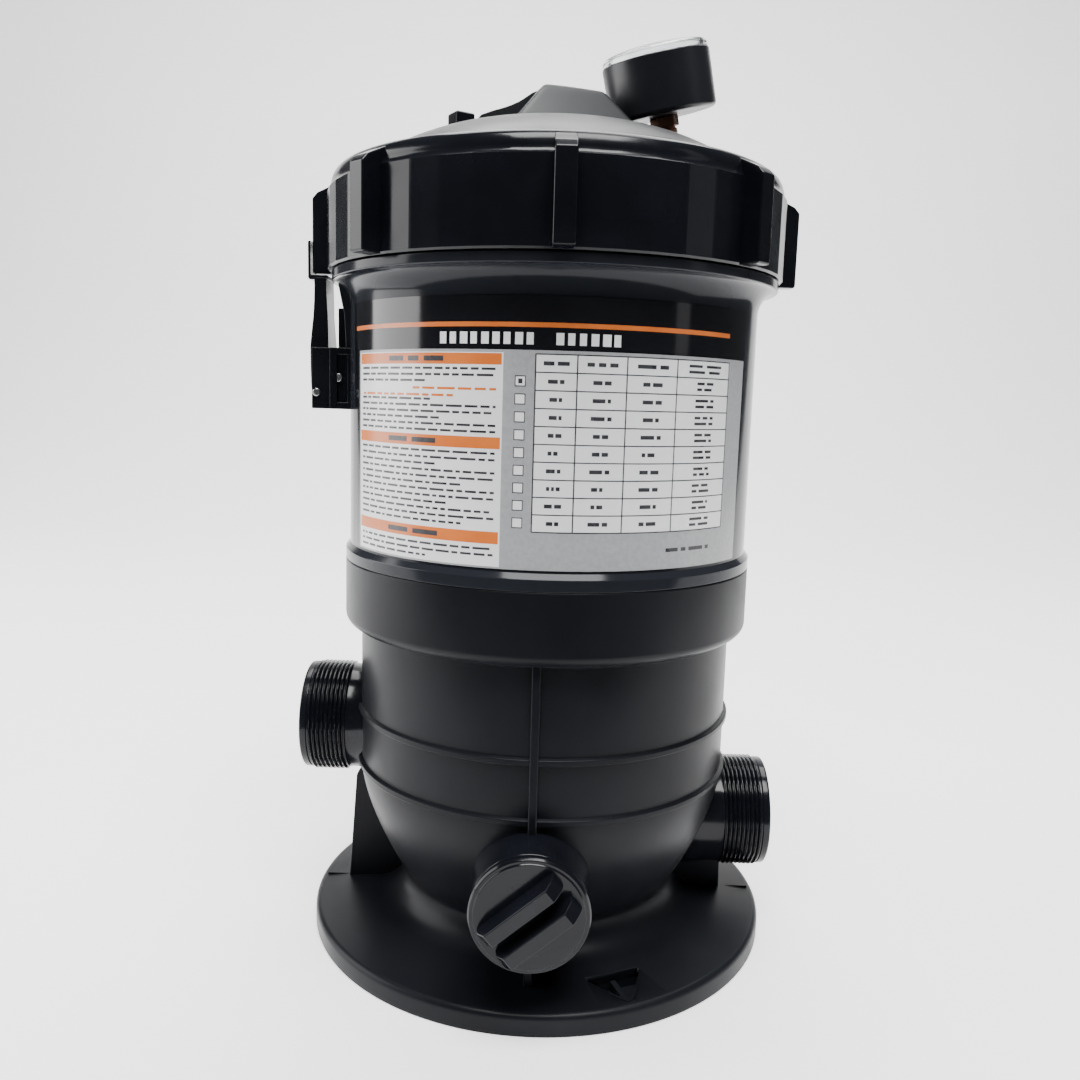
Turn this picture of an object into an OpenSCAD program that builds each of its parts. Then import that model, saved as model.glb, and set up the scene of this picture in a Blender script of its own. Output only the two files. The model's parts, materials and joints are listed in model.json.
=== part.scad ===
// Cartridge filter housing with a threaded lock ring, a pressure gauge and a drain.
// Millimetres, +Z up. The origin is on the floor, on the axis of the tank.
// The drain faces -Y, the inlet port -X and the outlet port +X.

/* [Lower body] */
// Radius of the round foot
foot_r = 122.8; // [121:0.1:126]
// Height of the foot's outer skirt
foot_h = 10.6; // [10:0.1:12]
// Outer radius of the bowl's straight wall
bowl_r = 98.5; // [98:0.1:99]
// Wall thickness of the bowl
bowl_wall = 5.2; // [4.5:0.1:6]
// Outer radius of the band round the top of the lower body
band_r = 106.8; // [106:0.1:108]
// Height of the band's top edge, where the tank begins
seam_z = 199.8; // [198:0.1:202]

/* [Ports] */
// Crest radius of the ports' outside thread
thread_r = 29.8; // [29.5:0.1:30]
// Radius of the ports' waterway
port_bore_r = 24.5; // [23:0.1:25]
// Height of the inlet port's axis
inlet_z = 106.4; // [104:0.1:108]
// Distance of the inlet port's end from the tank's axis
inlet_x = 128.6; // [127:0.1:130]
// Height of the outlet port's axis
outlet_z = 58.3; // [58:0.1:60]
// Distance of the outlet port's end from the tank's axis
outlet_x = 124; // [123:0.1:127]
// Pitch of the port thread
thread_pitch = 2.309; // [2.2:0.001:2.4]

/* [Tank] */
// Outer radius of the tank
tank_r = 104.5; // [104:0.1:105]
// Inner radius of the tank
tank_bore_r = 99.4; // [99:0.1:100]
// Radius of the tank's upper flange
flange_r = 113.8; // [113:0.1:114.5]
// Height of the upper flange's top face
flange_z = 343; // [342:0.1:344]
// Height of the neck's rim above the flange
neck_h = 29; // [28:0.1:30]

/* [Lock ring and lid] */
// Radius of the lock ring at its flat facets
ring_r = 115.5; // [115:0.1:116]
// Number of flat facets round the lock ring
facet_n = 48; // [48]
// Outer radius of the lock ring's ribs
rib_r = 124.9; // [124:0.1:124.9]
// Number of ribs
rib_n = 8; // [8, 12, 16]
// Angle of the first rib from the front
rib_turn = 1.5; // [0:0.5:3]
// Angle of the lid from the front
lid_turn = 18; // [10:1:25]
// Rise of the lid's dome above its shoulder
dome_rise = 27; // [25:0.5:29]

/* [Gauge] */
// Radius of the gauge case
gauge_r = 27.8; // [27:0.1:28.5]
// Height of the gauge case
gauge_h = 28.2; // [27:0.1:29]
// Lean of the gauge towards the front
gauge_lean = 10; // [8:1:12]
// Tilt of the gauge towards the left
gauge_tilt = -13; // [-15:1:-11]

/* [Drain] */
// Radius of the drain boss
boss_r = 27; // [26:0.1:27.3]
// Distance of the boss's end from the tank's axis
boss_y = 120.4; // [118:0.1:122]
// Height of the drain's axis
drain_z = 59; // [58:0.1:60]
// Sideways place of the drain's axis
drain_x = -2.9; // [-4:0.1:0]
// Angle of the grip bars on the drain plug
bar_turn = 40; // [0:1:90]

/* [Filter element] */
// Radius over the pleats
pleat_r = 85.5; // [84:0.1:86]
// Number of pleats
pleat_n = 72; // [60:1:80]
// Height of the element's lower end
element_z = 92; // [91:0.1:93]
// Length of the element over its caps
element_h = 268; // [264:1:270]

/* [Hidden] */
$fn = 96;

satin_black = [0.05, 0.05, 0.055];
gloss_black = [0.02, 0.02, 0.025];
tank_grey = [0.2, 0.21, 0.22];
seal_black = [0.03, 0.03, 0.03];
media_white = [0.9, 0.92, 0.95];
cap_blue = [0.15, 0.3, 0.55];
brass = [0.72, 0.55, 0.25];
steel = [0.7, 0.7, 0.72];

// Foot and bowl
neck_z = 28;
neck_r = 74.8;
bowl_z = 88;
bowl_curve = 1.55;
fillet_r = 15;
floor_z = 27;
foot_top_z = 21;
band_z = 170.8;
band_low_z = 164.5;
bead_h = 2.4;
bead_out = 2;
bead_zs = [90.6, 119.6];
socket_r = 101.4;
spigot_bore_r = 96.4;
socket_z = 172;
plate_z = 8;
skirt_r = 118.3;
anchor_r = 106;
anchor_turn = 21.8;
anchor_hole_r = 4.5;
// Ports
port_neck_r = 28.3;
lead_r = 28.9;
lead_l = 4;
ridge_n = 9;
ridge_d = 1.4;
bore_end = 98;
pipe_r = 24;
seat_z = element_z - 0.3;
// Neck, ring and lid
fillet_z = 326.4;
neck_top = flange_z + neck_h;
neck_out_r = 108.4;
neck_crest_r = 109.5;
ring_bore_r = 110;
ring_low = flange_z + 0.4;
ring_top = 391;
shoulder_z = 381.5;
shoulder_r = 108.8;
lip_z = 380.8;
lip_r = 105;
rib_w = 9.3;
rib_top = 384;
spigot_r = 98.9;
dome_r = 103.5;
dome_z = 389;
lid_wall = 5.2;
// Places of the lid's fittings, along its bridge
valve_x = -51;
valve_z = 413.3;
valve_stem_r = 4;
stem_x = 56.5;
gauge_z = 436.5;
gauge_low = -4.9;
gauge_top = gauge_low + gauge_h;
dial_z = gauge_top - 5.8;
// Label
label_z = 208.8;
label_t = 0.25;
label_from = -156;
label_arc = 126;
// Drain
plug_r = 27.3;
spigot_l = 22;
drain_bore_r = 19;
// Latch
latch_y = -3.3;
pin_x = -120.6;
pin_z = 283.3;
pin_r = 2;
screw_x = -108.8;
screw_z = 291;

function bowl_at(z) =
    bowl_r - (bowl_r - neck_r) * pow(max(0, bowl_z - z) / (bowl_z - neck_z), bowl_curve);
function arc(cx, cy, rx, ry, a0, a1, n) =
    [for (i = [0:n]) let (a = a0 + (a1 - a0) * i / n) [cx + rx * cos(a), cy + ry * sin(a)]];

function dome_at(r) = dome_z + dome_rise * (1 - pow(r / dome_r, 3));

function polar(r, a) = [r * cos(a), r * sin(a)];

function bead(z) = [
    [bowl_r, z - bead_h / 2 - 0.8], [bowl_r + bead_out, z - bead_h / 2],
    [bowl_r + bead_out, z + bead_h / 2], [bowl_r, z + bead_h / 2 + 0.8]
];

body_outline = concat(
    [[0, 0], [foot_r, 0]],
    arc(foot_r - 3.4, foot_h - 3.4, 3.4, 3.4, 0, 80, 5),
    [[neck_r + fillet_r + 10, 12.4]],
    arc(neck_r + fillet_r, neck_z, fillet_r, fillet_r, 270, 180, 8),
    [for (i = [1:11]) let (z = neck_z + (bowl_z - neck_z) * i / 11) [bowl_at(z), z]],
    bead(bead_zs[0]),
    bead(bead_zs[1]),
    [[bowl_r, band_low_z]],
    arc(bowl_r, band_z, band_r - bowl_r, band_z - band_low_z, -80, 0, 6),
    [[band_r, seam_z], [0, seam_z]]
);

body_cavity = concat(
    [[0, floor_z], [neck_r - 8, floor_z]],
    [for (i = [1:8]) let (z = floor_z + 4 + (bowl_z - floor_z - 4) * i / 8)
        [bowl_at(z) - bowl_wall - 1.5 * (1 - i / 8), z]],
    [[bowl_r - bowl_wall, socket_z], [socket_r, socket_z], [socket_r, seam_z + 1], [0, seam_z + 1]]
);

module ring(r_out, r_in, z0, z1) {
    translate([0, 0, z0])
    difference() {
        cylinder(r = r_out, h = z1 - z0);
        translate([0, 0, -1]) cylinder(r = r_in, h = z1 - z0 + 2);
    }
}

// Annular ridges that stand for a thread, along +Z from z0
module ridges(crest, depth, z0, pitch, count) {
    rotate_extrude()
        polygon(concat(
            [[crest - depth - 1, z0]],
            [for (i = [0:count - 1]) each [
                [crest - depth, z0 + i * pitch],
                [crest, z0 + (i + 0.3) * pitch],
                [crest, z0 + (i + 0.55) * pitch],
                [crest - depth, z0 + (i + 0.85) * pitch]
            ]],
            [[crest - depth - 1, z0 + count * pitch]]
        ));
}

// A port along +Z, whose end lies at the given distance from the axis
module port(end_z, from_z) {
    thread_l = ridge_n * thread_pitch;
    translate([0, 0, from_z]) cylinder(r = port_neck_r, h = end_z - from_z - 2);
    translate([0, 0, end_z - lead_l]) cylinder(r = lead_r, h = lead_l - 1);
    translate([0, 0, end_z - 1]) cylinder(r1 = lead_r, r2 = lead_r - 1, h = 1);
    ridges(thread_r, ridge_d, end_z - lead_l - thread_l, thread_pitch, ridge_n);
}

module at_inlet() translate([0, 0, inlet_z]) rotate([0, -90, 0]) children();
module at_outlet() translate([0, 0, outlet_z]) rotate([0, 90, 0]) children();
module at_drain() translate([drain_x, 0, drain_z]) rotate([90, 0, 0]) children();

// Triangular web between the bowl and the foot
module side_fin(top_x, low_x) {
    rotate([90, 0, 0])
    translate([0, 0, -2.2])
    linear_extrude(4.4)
        polygon([[60, 10], [low_x, 10], [top_x, 78], [bowl_r - 4, 90], [60, 40]]);
}

module front_rib() {
    translate([drain_x - 2, -bowl_r - 3.2, 70]) cube([4, 8, band_z - 70]);
    translate([drain_x - 2, -bowl_r - 5, 9]) cube([4, 35, 40]);
}

module anchor(r) rotate([0, 0, r]) children();

// Outer shape of the bowl, its webs and the foot, before anything is hollowed
module body_shape() {
    rotate_extrude() polygon(body_outline);
    difference() {
        side_fin(102, 103);
        // room for a nut on the outlet port
        at_outlet() translate([0, 0, bowl_r + 0.9]) cylinder(r = thread_r + 1.4, h = 30);
    }
    mirror([1, 0, 0]) side_fin(102.5, 107);
    front_rib();
    rotate([0, 0, 180]) front_rib();
}

module foot() {
    color(satin_black)
    difference() {
        union() {
            difference() {
                intersection() {
                    body_shape();
                    translate([-150, -150, -1]) cube([300, 300, foot_top_z + 1]);
                }
                // hollow underside, with radial ribs left standing
                difference() {
                    rotate_extrude()
                        polygon([[0, -1], [skirt_r, -1], [skirt_r, plate_z - 1], [88, plate_z],
                            [neck_r - 6, foot_top_z], [neck_r - 6, foot_top_z + 1], [0, foot_top_z + 1]]);
                    for (i = [0:7])
                        rotate([0, 0, i * 45 + 22.5]) translate([18, -1.5, -2]) cube([105, 3, 30]);
                    ring(22, 17.5, -2, 30);
                }
            }
            for (turn = [anchor_turn, anchor_turn + 180])
                anchor(turn) translate([0, 0, 0.01]) linear_extrude(9)
                    polygon([[-18, 96], [21, 95], [2, 119.5], [-2, 119.5]] * -1);
        }
        for (turn = [anchor_turn, anchor_turn + 180]) {
            anchor(turn) translate([0, 0, 4]) linear_extrude(20)
                polygon([[-14, 98.5], [16, 98], [1.5, 117], [-1.5, 117]] * -1);
            anchor(turn) translate([0, -anchor_r, -1]) cylinder(r = anchor_hole_r, h = 20);
        }
    }
}

module lower_body() {
    color(satin_black)
    difference() {
        intersection() {
            union() {
                body_shape();
                at_drain() translate([0, 0, 70]) cylinder(r = boss_r, h = boss_y - 70);
            }
            translate([-150, -150, foot_top_z]) cube([300, 300, 200]);
        }
        rotate_extrude() polygon(body_cavity);
        at_inlet() translate([0, 0, 60]) cylinder(r = port_bore_r - 0.5, h = 90);
        at_inlet() translate([0, 0, bore_end]) cylinder(r = port_bore_r, h = 90);
        at_outlet() translate([0, 0, 60]) cylinder(r = pipe_r + 0.05, h = 90);
        at_outlet() translate([0, 0, bore_end]) cylinder(r = port_bore_r, h = 90);
        at_drain() translate([0, 0, 50]) cylinder(r = drain_bore_r, h = 90);
    }
}

module inlet_port() {
    color(gloss_black)
    difference() {
        at_inlet() port(inlet_x, 70);
        body_shape();
        at_inlet() translate([0, 0, bore_end]) cylinder(r = port_bore_r, h = 90);
        at_inlet() translate([0, 0, 60]) cylinder(r = port_bore_r - 0.5, h = 90);
    }
}

module outlet_port() {
    color(gloss_black)
    difference() {
        at_outlet() port(outlet_x, 60);
        body_shape();
        at_outlet() translate([0, 0, bore_end]) cylinder(r = port_bore_r, h = 90);
        at_outlet() translate([0, 0, 50]) cylinder(r = pipe_r + 0.05, h = 90);
    }
}

module tank_shell() {
    neck_thread_z = flange_z + 5;
    color(tank_grey)
    difference() {
        union() {
            rotate_extrude()
                polygon(concat(
                    [[60, socket_z + 1], [socket_r - 0.3, socket_z + 1], [socket_r - 0.3, seam_z]],
                    [[band_r, seam_z], [band_r, seam_z + 5.4], [tank_r, seam_z + 8]],
                    arc(flange_r - 0.8, fillet_z, flange_r - 0.8 - tank_r, 12, 180, 98, 6),
                    [[flange_r, flange_z - 4.8], [flange_r, flange_z], [neck_out_r, flange_z],
                        [neck_out_r, neck_top], [60, neck_top]]
                ));
            for (i = [0:3])
                ring(neck_crest_r, 100, neck_thread_z + i * 5.5, neck_thread_z + i * 5.5 + 2);
            // webs that carry the latch bracket
            for (side = [-1, 1])
                translate([0, latch_y + side * 13 + 1.5, 0])
                rotate([90, 0, 0])
                linear_extrude(3)
                    polygon([[-100, 274], [-105.6, 275], [-106, 300], [-109.4, 318],
                        [-110.4, 338.5], [-100, 338.5]]);
        }
        translate([0, 0, 150]) cylinder(r = spigot_bore_r, h = 250);
        translate([0, 0, seam_z + 2]) cylinder(r = tank_bore_r, h = 250);
        // groove of the seam seal
        ring(socket_r + 5, socket_r - 2.5, seam_z - 17, seam_z - 14.2);
    }
}

module seam_oring() {
    color(seal_black)
    translate([0, 0, seam_z - 15.6])
    rotate_extrude() translate([socket_r - 1.25, 0]) circle(r = 1.25, $fn = 32);
}

module label() {
    color([0.75, 0.76, 0.77])
    rotate([0, 0, label_from])
    rotate_extrude(angle = label_arc)
        translate([tank_r, label_z]) square([label_t, fillet_z - 0.4 - label_z]);
}

// Pipe from the outlet port to the middle and up to the filter element
module outlet_pipe() {
    pipe_bore = 20.5;
    color([0.85, 0.86, 0.85])
    difference() {
        union() {
            at_outlet() cylinder(r = pipe_r, h = bore_end - 0.2);
            translate([0, 0, 31]) cylinder(r = pipe_r, h = seat_z - 4 - 31);
        }
        at_outlet() cylinder(r = pipe_bore, h = 110);
        translate([0, 0, 35]) cylinder(r = pipe_bore, h = 70.01);
    }
}

// Flange that the filter element stands on, with the spider that holds the bleed tube
module element_seat() {
    seat_bore = 20.5;
    color([0.85, 0.86, 0.85])
    union() {
        ring(42, seat_bore, seat_z - 4, seat_z);
        ring(27.6, seat_bore, seat_z - 1, seat_z + 14);
        difference() {
            translate([0, 0, seat_z - 3.5]) union() {
                translate([-21.5, -1.5, 0]) cube([43, 3, 3]);
                translate([-1.5, -21.5, 0]) cube([3, 43, 3]);
                cylinder(r = 7, h = 8);
            }
            translate([0, 0, seat_z - 5]) cylinder(r = 4.05, h = 20);
        }
    }
}

module air_bleed_tube() {
    color([0.9, 0.9, 0.88])
    difference() {
        union() {
            translate([0, 0, 78]) cylinder(r = 4, h = 286);
            ring(9, 3.9, 345, 348);
        }
        translate([0, 0, 77]) cylinder(r = 2.4, h = 290);
    }
}

module bleed_screen() {
    color([0.75, 0.78, 0.8])
    difference() {
        translate([0, 0, 348.1]) cylinder(r = 8, h = 24);
        translate([0, 0, 347]) cylinder(r = 6.4, h = 23.5);
        for (turn = [0:45:315], z = [351:4:367])
            rotate([0, 0, turn]) translate([5, -1.6, z]) cube([5, 3.2, 1.8]);
    }
}

// Box that holds the latch pin against the tank's webs
module latch_bracket() {
    box_w = 25.2;
    color(gloss_black)
    translate([0, latch_y, 0])
    difference() {
        union() {
            for (side = [-1, 1]) {
                translate([-113.3, side * 15.85 - 1.25, 275]) cube([13, 2.5, 31]);
                translate([-123.2, side * 12.6 - 1.5, 275]) cube([14, 3, 31]);
                translate([-113.3, side * 14.4 - 2.7, 275]) cube([4, 5.4, 31]);
            }
            translate([-110, -11.2, 276]) cube([4.2, 22.4, 50]);
            translate([-122.2, -box_w / 2, 275]) cube([16, box_w, 3]);
        }
        for (side = [-1, 1])
            translate([-112, side * 20.7 - 5, 278.5]) cube([8, 10, 24]);
        translate([pin_x, 30, pin_z]) rotate([90, 0, 0]) cylinder(r = pin_r + 0.02, h = 60);
        translate([screw_x, 30, screw_z]) rotate([90, 0, 0]) cylinder(r = 1.4, h = 60);
        translate([0, -latch_y, 270]) cylinder(r = tank_r + 0.2, h = 60);
    }
}

// Two screws, with their heads in the bracket's recesses
module bracket_screws() {
    color(steel)
    for (side = [-1, 1])
        translate([screw_x, latch_y + side * 15.8, screw_z])
        rotate([side * 90, 0, 0])
        difference() {
            union() {
                cylinder(r = 1.3, h = 4);
                translate([0, 0, -1.3]) cylinder(r1 = 1.8, r2 = 2.3, h = 1.3);
            }
            translate([-3, -0.4, -2]) cube([6, 0.8, 1.4]);
        }
}

module latch_pin() {
    color(steel)
    translate([pin_x, latch_y + 15.2, pin_z]) rotate([90, 0, 0]) cylinder(r = pin_r, h = 30.4);
}

module latch_spring() {
    color(steel)
    translate([pin_x, latch_y, pin_z])
    rotate([90, 0, 0])
    for (i = [-3:3])
        ring(3.9, 2.7, i * 1.05 - 0.45, i * 1.05 + 0.45);
}

// Lever that swings outward on its pin; its head stands just outside the ribs
module latch_lever() {
    color(gloss_black)
    translate([0, latch_y, 0])
    difference() {
        rotate([90, 0, 0])
        union() {
            translate([0, 0, -10.5]) linear_extrude(21) difference() {
                polygon([[-123.9, 279.6], [-117, 279.2], [-115.8, 290], [-115.2, 306], [-116.4, 330],
                    [-116.6, 335], [-122.8, 335], [-123.4, 325], [-124.8, 308], [-124.4, 292]]);
            }
            translate([0, 0, -9]) linear_extrude(18)
                polygon([[-122.8, 334], [-116.6, 334], [-116.6, 341.6], [-122.8, 341.6]]);
            translate([0, 0, -10]) linear_extrude(20)
                polygon([[-126.3, 340.4], [-116.4, 340.4], [-116.4, 342.8], [-125.4, 342.8],
                    [-125.4, 359.2], [-126.1, 360.4], [-127.1, 359.6], [-127.1, 341.2]]);
        }
        // pocket for the spring and the bore on the pin
        translate([-125, -4.6, 276]) cube([9.5, 9.2, 12.5]);
        translate([pin_x, 30, pin_z]) rotate([90, 0, 0]) cylinder(r = pin_r + 0.06, h = 60);
        // waist
        for (side = [-1, 1])
            translate([-130, side * 22, 322]) rotate([0, 90, 0]) cylinder(r = 14, h = 20);
    }
}

module pleated_media() {
    fold = 180 / pleat_n;
    // half widths of the fold at its tip and at its root, in degrees
    tip = 0.42;
    root = 0.9;
    color(media_white)
    translate([0, 0, element_z + 6])
    linear_extrude(element_h - 12)
    difference() {
        polygon([for (i = [0:pleat_n - 1]) each [
            polar(pleat_r, 2 * i * fold - tip),
            polar(pleat_r, 2 * i * fold + tip),
            polar(41, (2 * i + 1) * fold)
        ]]);
        polygon([for (i = [0:pleat_n - 1]) each [
            polar(pleat_r - 1.8, 2 * i * fold),
            polar(38.8, (2 * i + 1) * fold - root),
            polar(38.8, (2 * i + 1) * fold + root)
        ]]);
    }
}

module element_core() {
    color([0.9, 0.9, 0.9])
    difference() {
        ring(37.7, 35.2, element_z + 5.8, element_z + element_h - 5.8);
        for (turn = [0:45:315], z = [element_z + 20:22:element_z + element_h - 24])
            rotate([0, 0, turn]) translate([33, -6, z]) cube([8, 12, 13]);
    }
}

module element_cap(z0, flip) {
    translate([0, 0, z0])
    mirror([0, 0, flip])
    difference() {
        union() {
            cylinder(r = 88, h = 5);
            translate([0, 0, 5]) cylinder(r1 = 88, r2 = 87, h = 0.8);
        }
        translate([0, 0, -1]) cylinder(r = 28, h = 10);
    }
}

module element_top_cap() {
    color(cap_blue)
    union() {
        element_cap(element_z + element_h - 5.8, 0);
        for (turn = [0, 90])
            rotate([0, 0, turn]) translate([-30, -2, element_z + element_h - 5.4]) difference() {
                cube([60, 4, 4]);
                translate([20, -1, -1]) cube([20, 6, 6]);
            }
    }
}

module element_bottom_cap() {
    color(cap_blue)
    element_cap(element_z + 5.8, 1);
}

module lock_ring() {
    ring_wall_r = ring_r / cos(180 / facet_n);
    color(gloss_black)
    difference() {
        union() {
            // faceted skirt and rounded shoulder
            translate([0, 0, ring_low])
            linear_extrude(shoulder_z - ring_low)
                polygon([for (i = [0:facet_n - 1])
                    let (a = rib_turn - 90 + 180 / facet_n + i * 360 / facet_n)
                    [ring_wall_r * cos(a), ring_wall_r * sin(a)]]);
            rotate_extrude()
                polygon(concat([[100, ring_low + 3]],
                    [[ring_r - 0.6, ring_low + 3], [ring_r - 0.6, shoulder_z]],
                    arc(shoulder_r, shoulder_z, ring_r - 0.6 - shoulder_r,
                        ring_top - shoulder_z - 1, 0, 80, 5),
                    [[shoulder_r - 1, ring_top], [100, ring_top]]));
            for (i = [0:rib_n - 1])
                rotate([0, 0, rib_turn - 90 + i * 360 / rib_n])
                translate([0, rib_w / 2, 0])
                rotate([90, 0, 0])
                linear_extrude(rib_w)
                    polygon([[106, ring_low], [rib_r - 1, ring_low], [rib_r, ring_low + 1],
                        [rib_r, rib_top - 3], [rib_r - 2.4, rib_top], [shoulder_r, ring_top - 1.2],
                        [106, ring_top - 1.2]]);
        }
        translate([0, 0, ring_low - 1]) cylinder(r = ring_bore_r, h = lip_z - ring_low + 1);
        translate([0, 0, ring_low]) cylinder(r = lip_r, h = 100);
        for (i = [0:3])
            ring(ring_bore_r + 1.4, ring_bore_r - 1, flange_z + 8.2 + i * 5.5, flange_z + 10.2 + i * 5.5);
    }
}

module on_lid() rotate([0, 0, lid_turn]) children();

// Frame of the gauge: +Z along its axis, origin at the middle of the case's back
module at_gauge() {
    on_lid()
    translate([stem_x, 0, gauge_z])
    rotate([0, 0, -lid_turn])
    rotate([gauge_lean, gauge_tilt, 0])
        children();
}

// Bridge over the middle of the lid, with a wing that falls towards the relief valve
module saddle() {
    hull() {
        for (x = [-9.7, 12.5], y = [-11, 11])
            translate([x, y, 430.6]) sphere(r = 6, $fn = 32);
        for (x = [-22.1, 27], y = [-19, 19])
            translate([x, y, 416]) sphere(r = 6, $fn = 32);
        for (x = [-40, 38], y = [-27, 27])
            translate([x, y, 398]) sphere(r = 4, $fn = 32);
    }
    translate([0, 8, 0])
    rotate([90, 0, 0])
    linear_extrude(16)
        polygon([[-43.5, 405], [-43.5, 419.6], [-42.9, 420.3], [-36, 423], [-28, 426.1], [-24, 428.2],
            [-20, 431], [-17, 433.3], [-12, 435.2], [-10, 405]]);
}

module lid_shell() {
    steps = 24;
    inner_r = spigot_r - lid_wall;
    color(tank_grey)
    difference() {
        union() {
            rotate_extrude()
                polygon(concat([[0, lip_z - 2]], [[dome_r, lip_z - 2]],
                    [for (i = [steps:-1:0]) let (r = dome_r * i / steps) [r, dome_at(r)]]));
            translate([0, 0, neck_top + 0.2])
                cylinder(r = neck_out_r + 0.9, h = lip_z - 0.5 - neck_top);
            translate([0, 0, neck_top - 14]) cylinder(r = spigot_r, h = 20);
            on_lid() saddle();
            on_lid() translate([valve_x, 0, 395]) cylinder(r1 = 9.5, r2 = 7.4, h = valve_z - 395);
            at_gauge() translate([0, 0, -46]) cylinder(r1 = 14, r2 = 11.5, h = 26);
        }
        // hollow under the dome
        rotate_extrude()
            polygon(concat([[0, 340]], [[inner_r, 340]],
                [for (i = [steps:-1:0]) let (r = inner_r * i / steps) [r, dome_at(r) - lid_wall]]));
        on_lid() translate([0, 0, 380]) intersection() {
            cube([44, 30, 96], center = true);
            cylinder(r = 18, h = 45);
        }
        ring(spigot_r + 4, spigot_r - 3, neck_top - 8.4, neck_top - 4.6);
        on_lid() translate([valve_x, 0, 370]) cylinder(r = valve_stem_r + 0.06, h = 60);
        on_lid() translate([valve_x, 0, valve_z]) cylinder(r = 7.3, h = 10);
        at_gauge() translate([0, 0, -70]) cylinder(r = 6.1, h = 60);
    }
}

module lid_oring() {
    color(seal_black)
    translate([0, 0, neck_top - 6.5])
    rotate_extrude() translate([spigot_r - 1.45, 0]) circle(r = 1.55, $fn = 32);
}

module relief_knob() {
    knob_w = 10;
    edge = 0.6;
    color(gloss_black)
    on_lid()
    translate([valve_x, 0, valve_z])
    rotate([0, 0, 14])
    union() {
        translate([-knob_w / 2, -knob_w / 2, 1.6]) cube([knob_w, knob_w, 5.9]);
        hull() {
            translate([0, 0, 7.4]) cube([knob_w, knob_w, 0.2], center = true);
            translate([0, 0, 8]) cube([knob_w - 2 * edge, knob_w - 2 * edge, 0.2], center = true);
        }
        translate([0, 0, -16]) cylinder(r = valve_stem_r, h = 20);
    }
}

module relief_washer() {
    color(seal_black)
    on_lid() translate([valve_x, 0, 0]) ring(6.6, valve_stem_r + 0.4, valve_z, valve_z + 1.4);
}

module gauge_stem() {
    hex_low = -10.4;
    color(brass)
    at_gauge()
    difference() {
        union() {
            translate([0, 0, hex_low]) cylinder(r = 7.7, h = gauge_low - hex_low, $fn = 6);
            translate([0, 0, -40]) cylinder(r = 6, h = 30);
            ridges(6.55, 0.5, -19.6, 1.34, 6);
            translate([0, 0, gauge_low - 0.5]) cylinder(r = 5, h = 8.7);
        }
        translate([0, 0, -41]) cylinder(r = 1.6, h = 40);
    }
}

module stem_washer() {
    color([0.9, 0.9, 0.88])
    at_gauge() ring(9.5, 6.7, -20, -18.4);
}

module gauge_case() {
    color(gloss_black)
    at_gauge()
    translate([0, 0, gauge_low])
    difference() {
        rotate_extrude()
            polygon(concat([[0, 0], [gauge_r - 3, 0]],
                arc(gauge_r - 3, 3, 3, 3, -75, 0, 4),
                [[gauge_r, gauge_h - 1], [gauge_r - 1, gauge_h], [0, gauge_h]]));
        translate([0, 0, 2.4]) cylinder(r = gauge_r - 2.2, h = gauge_h);
        translate([0, 0, -1]) cylinder(r = 5.05, h = 10);
    }
}

module gauge_tube() {
    color(brass)
    at_gauge()
    union() {
        translate([0, 0, 8.3])
            rotate([0, 0, 120])
            rotate_extrude(angle = 280) translate([15, 0]) circle(r = 2.6, $fn = 24);
        translate([0, 0, 3.4]) cylinder(r = 4.4, h = 10.4);
        translate([-9.5, -12.6, 5.9]) rotate([0, 0, 52]) cube([12, 4, 3]);
    }
}

module gauge_dial() {
    color("white")
    at_gauge()
    difference() {
        translate([0, 0, dial_z - 1]) cylinder(r = gauge_r - 2.4, h = 1);
        translate([0, 0, dial_z - 2]) cylinder(r = 1.6, h = 4);
    }
}

module gauge_pointer() {
    color([0.1, 0.1, 0.1])
    at_gauge()
    translate([0, 0, dial_z])
    rotate([0, 0, 135])
    union() {
        translate([0, 0, 0.6]) linear_extrude(0.8)
            polygon([[-1.6, -6], [1.6, -6], [0.8, 10], [0, 19.5], [-0.8, 10]]);
        translate([0, 0, 0.4]) cylinder(r = 2.4, h = 1.8);
        translate([0, 0, -3.2]) cylinder(r = 1.1, h = 4);
    }
}

// Clear cap that stands on the case's rim, with a skirt inside it
module gauge_lens() {
    color([0.85, 0.9, 0.92, 0.4])
    at_gauge()
    translate([0, 0, gauge_top])
    rotate_extrude()
        polygon([[23.9, -1.8], [25.4, -1.8], [25.4, 0.05], [gauge_r - 0.6, 0.05], [gauge_r - 0.6, 2.3],
            [26.4, 3.7], [24.5, 4.4], [15, 5], [0, 5.2], [0, 3.8], [15, 3.6], [23.4, 2.9], [23.9, 2.2]]);
}

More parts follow.
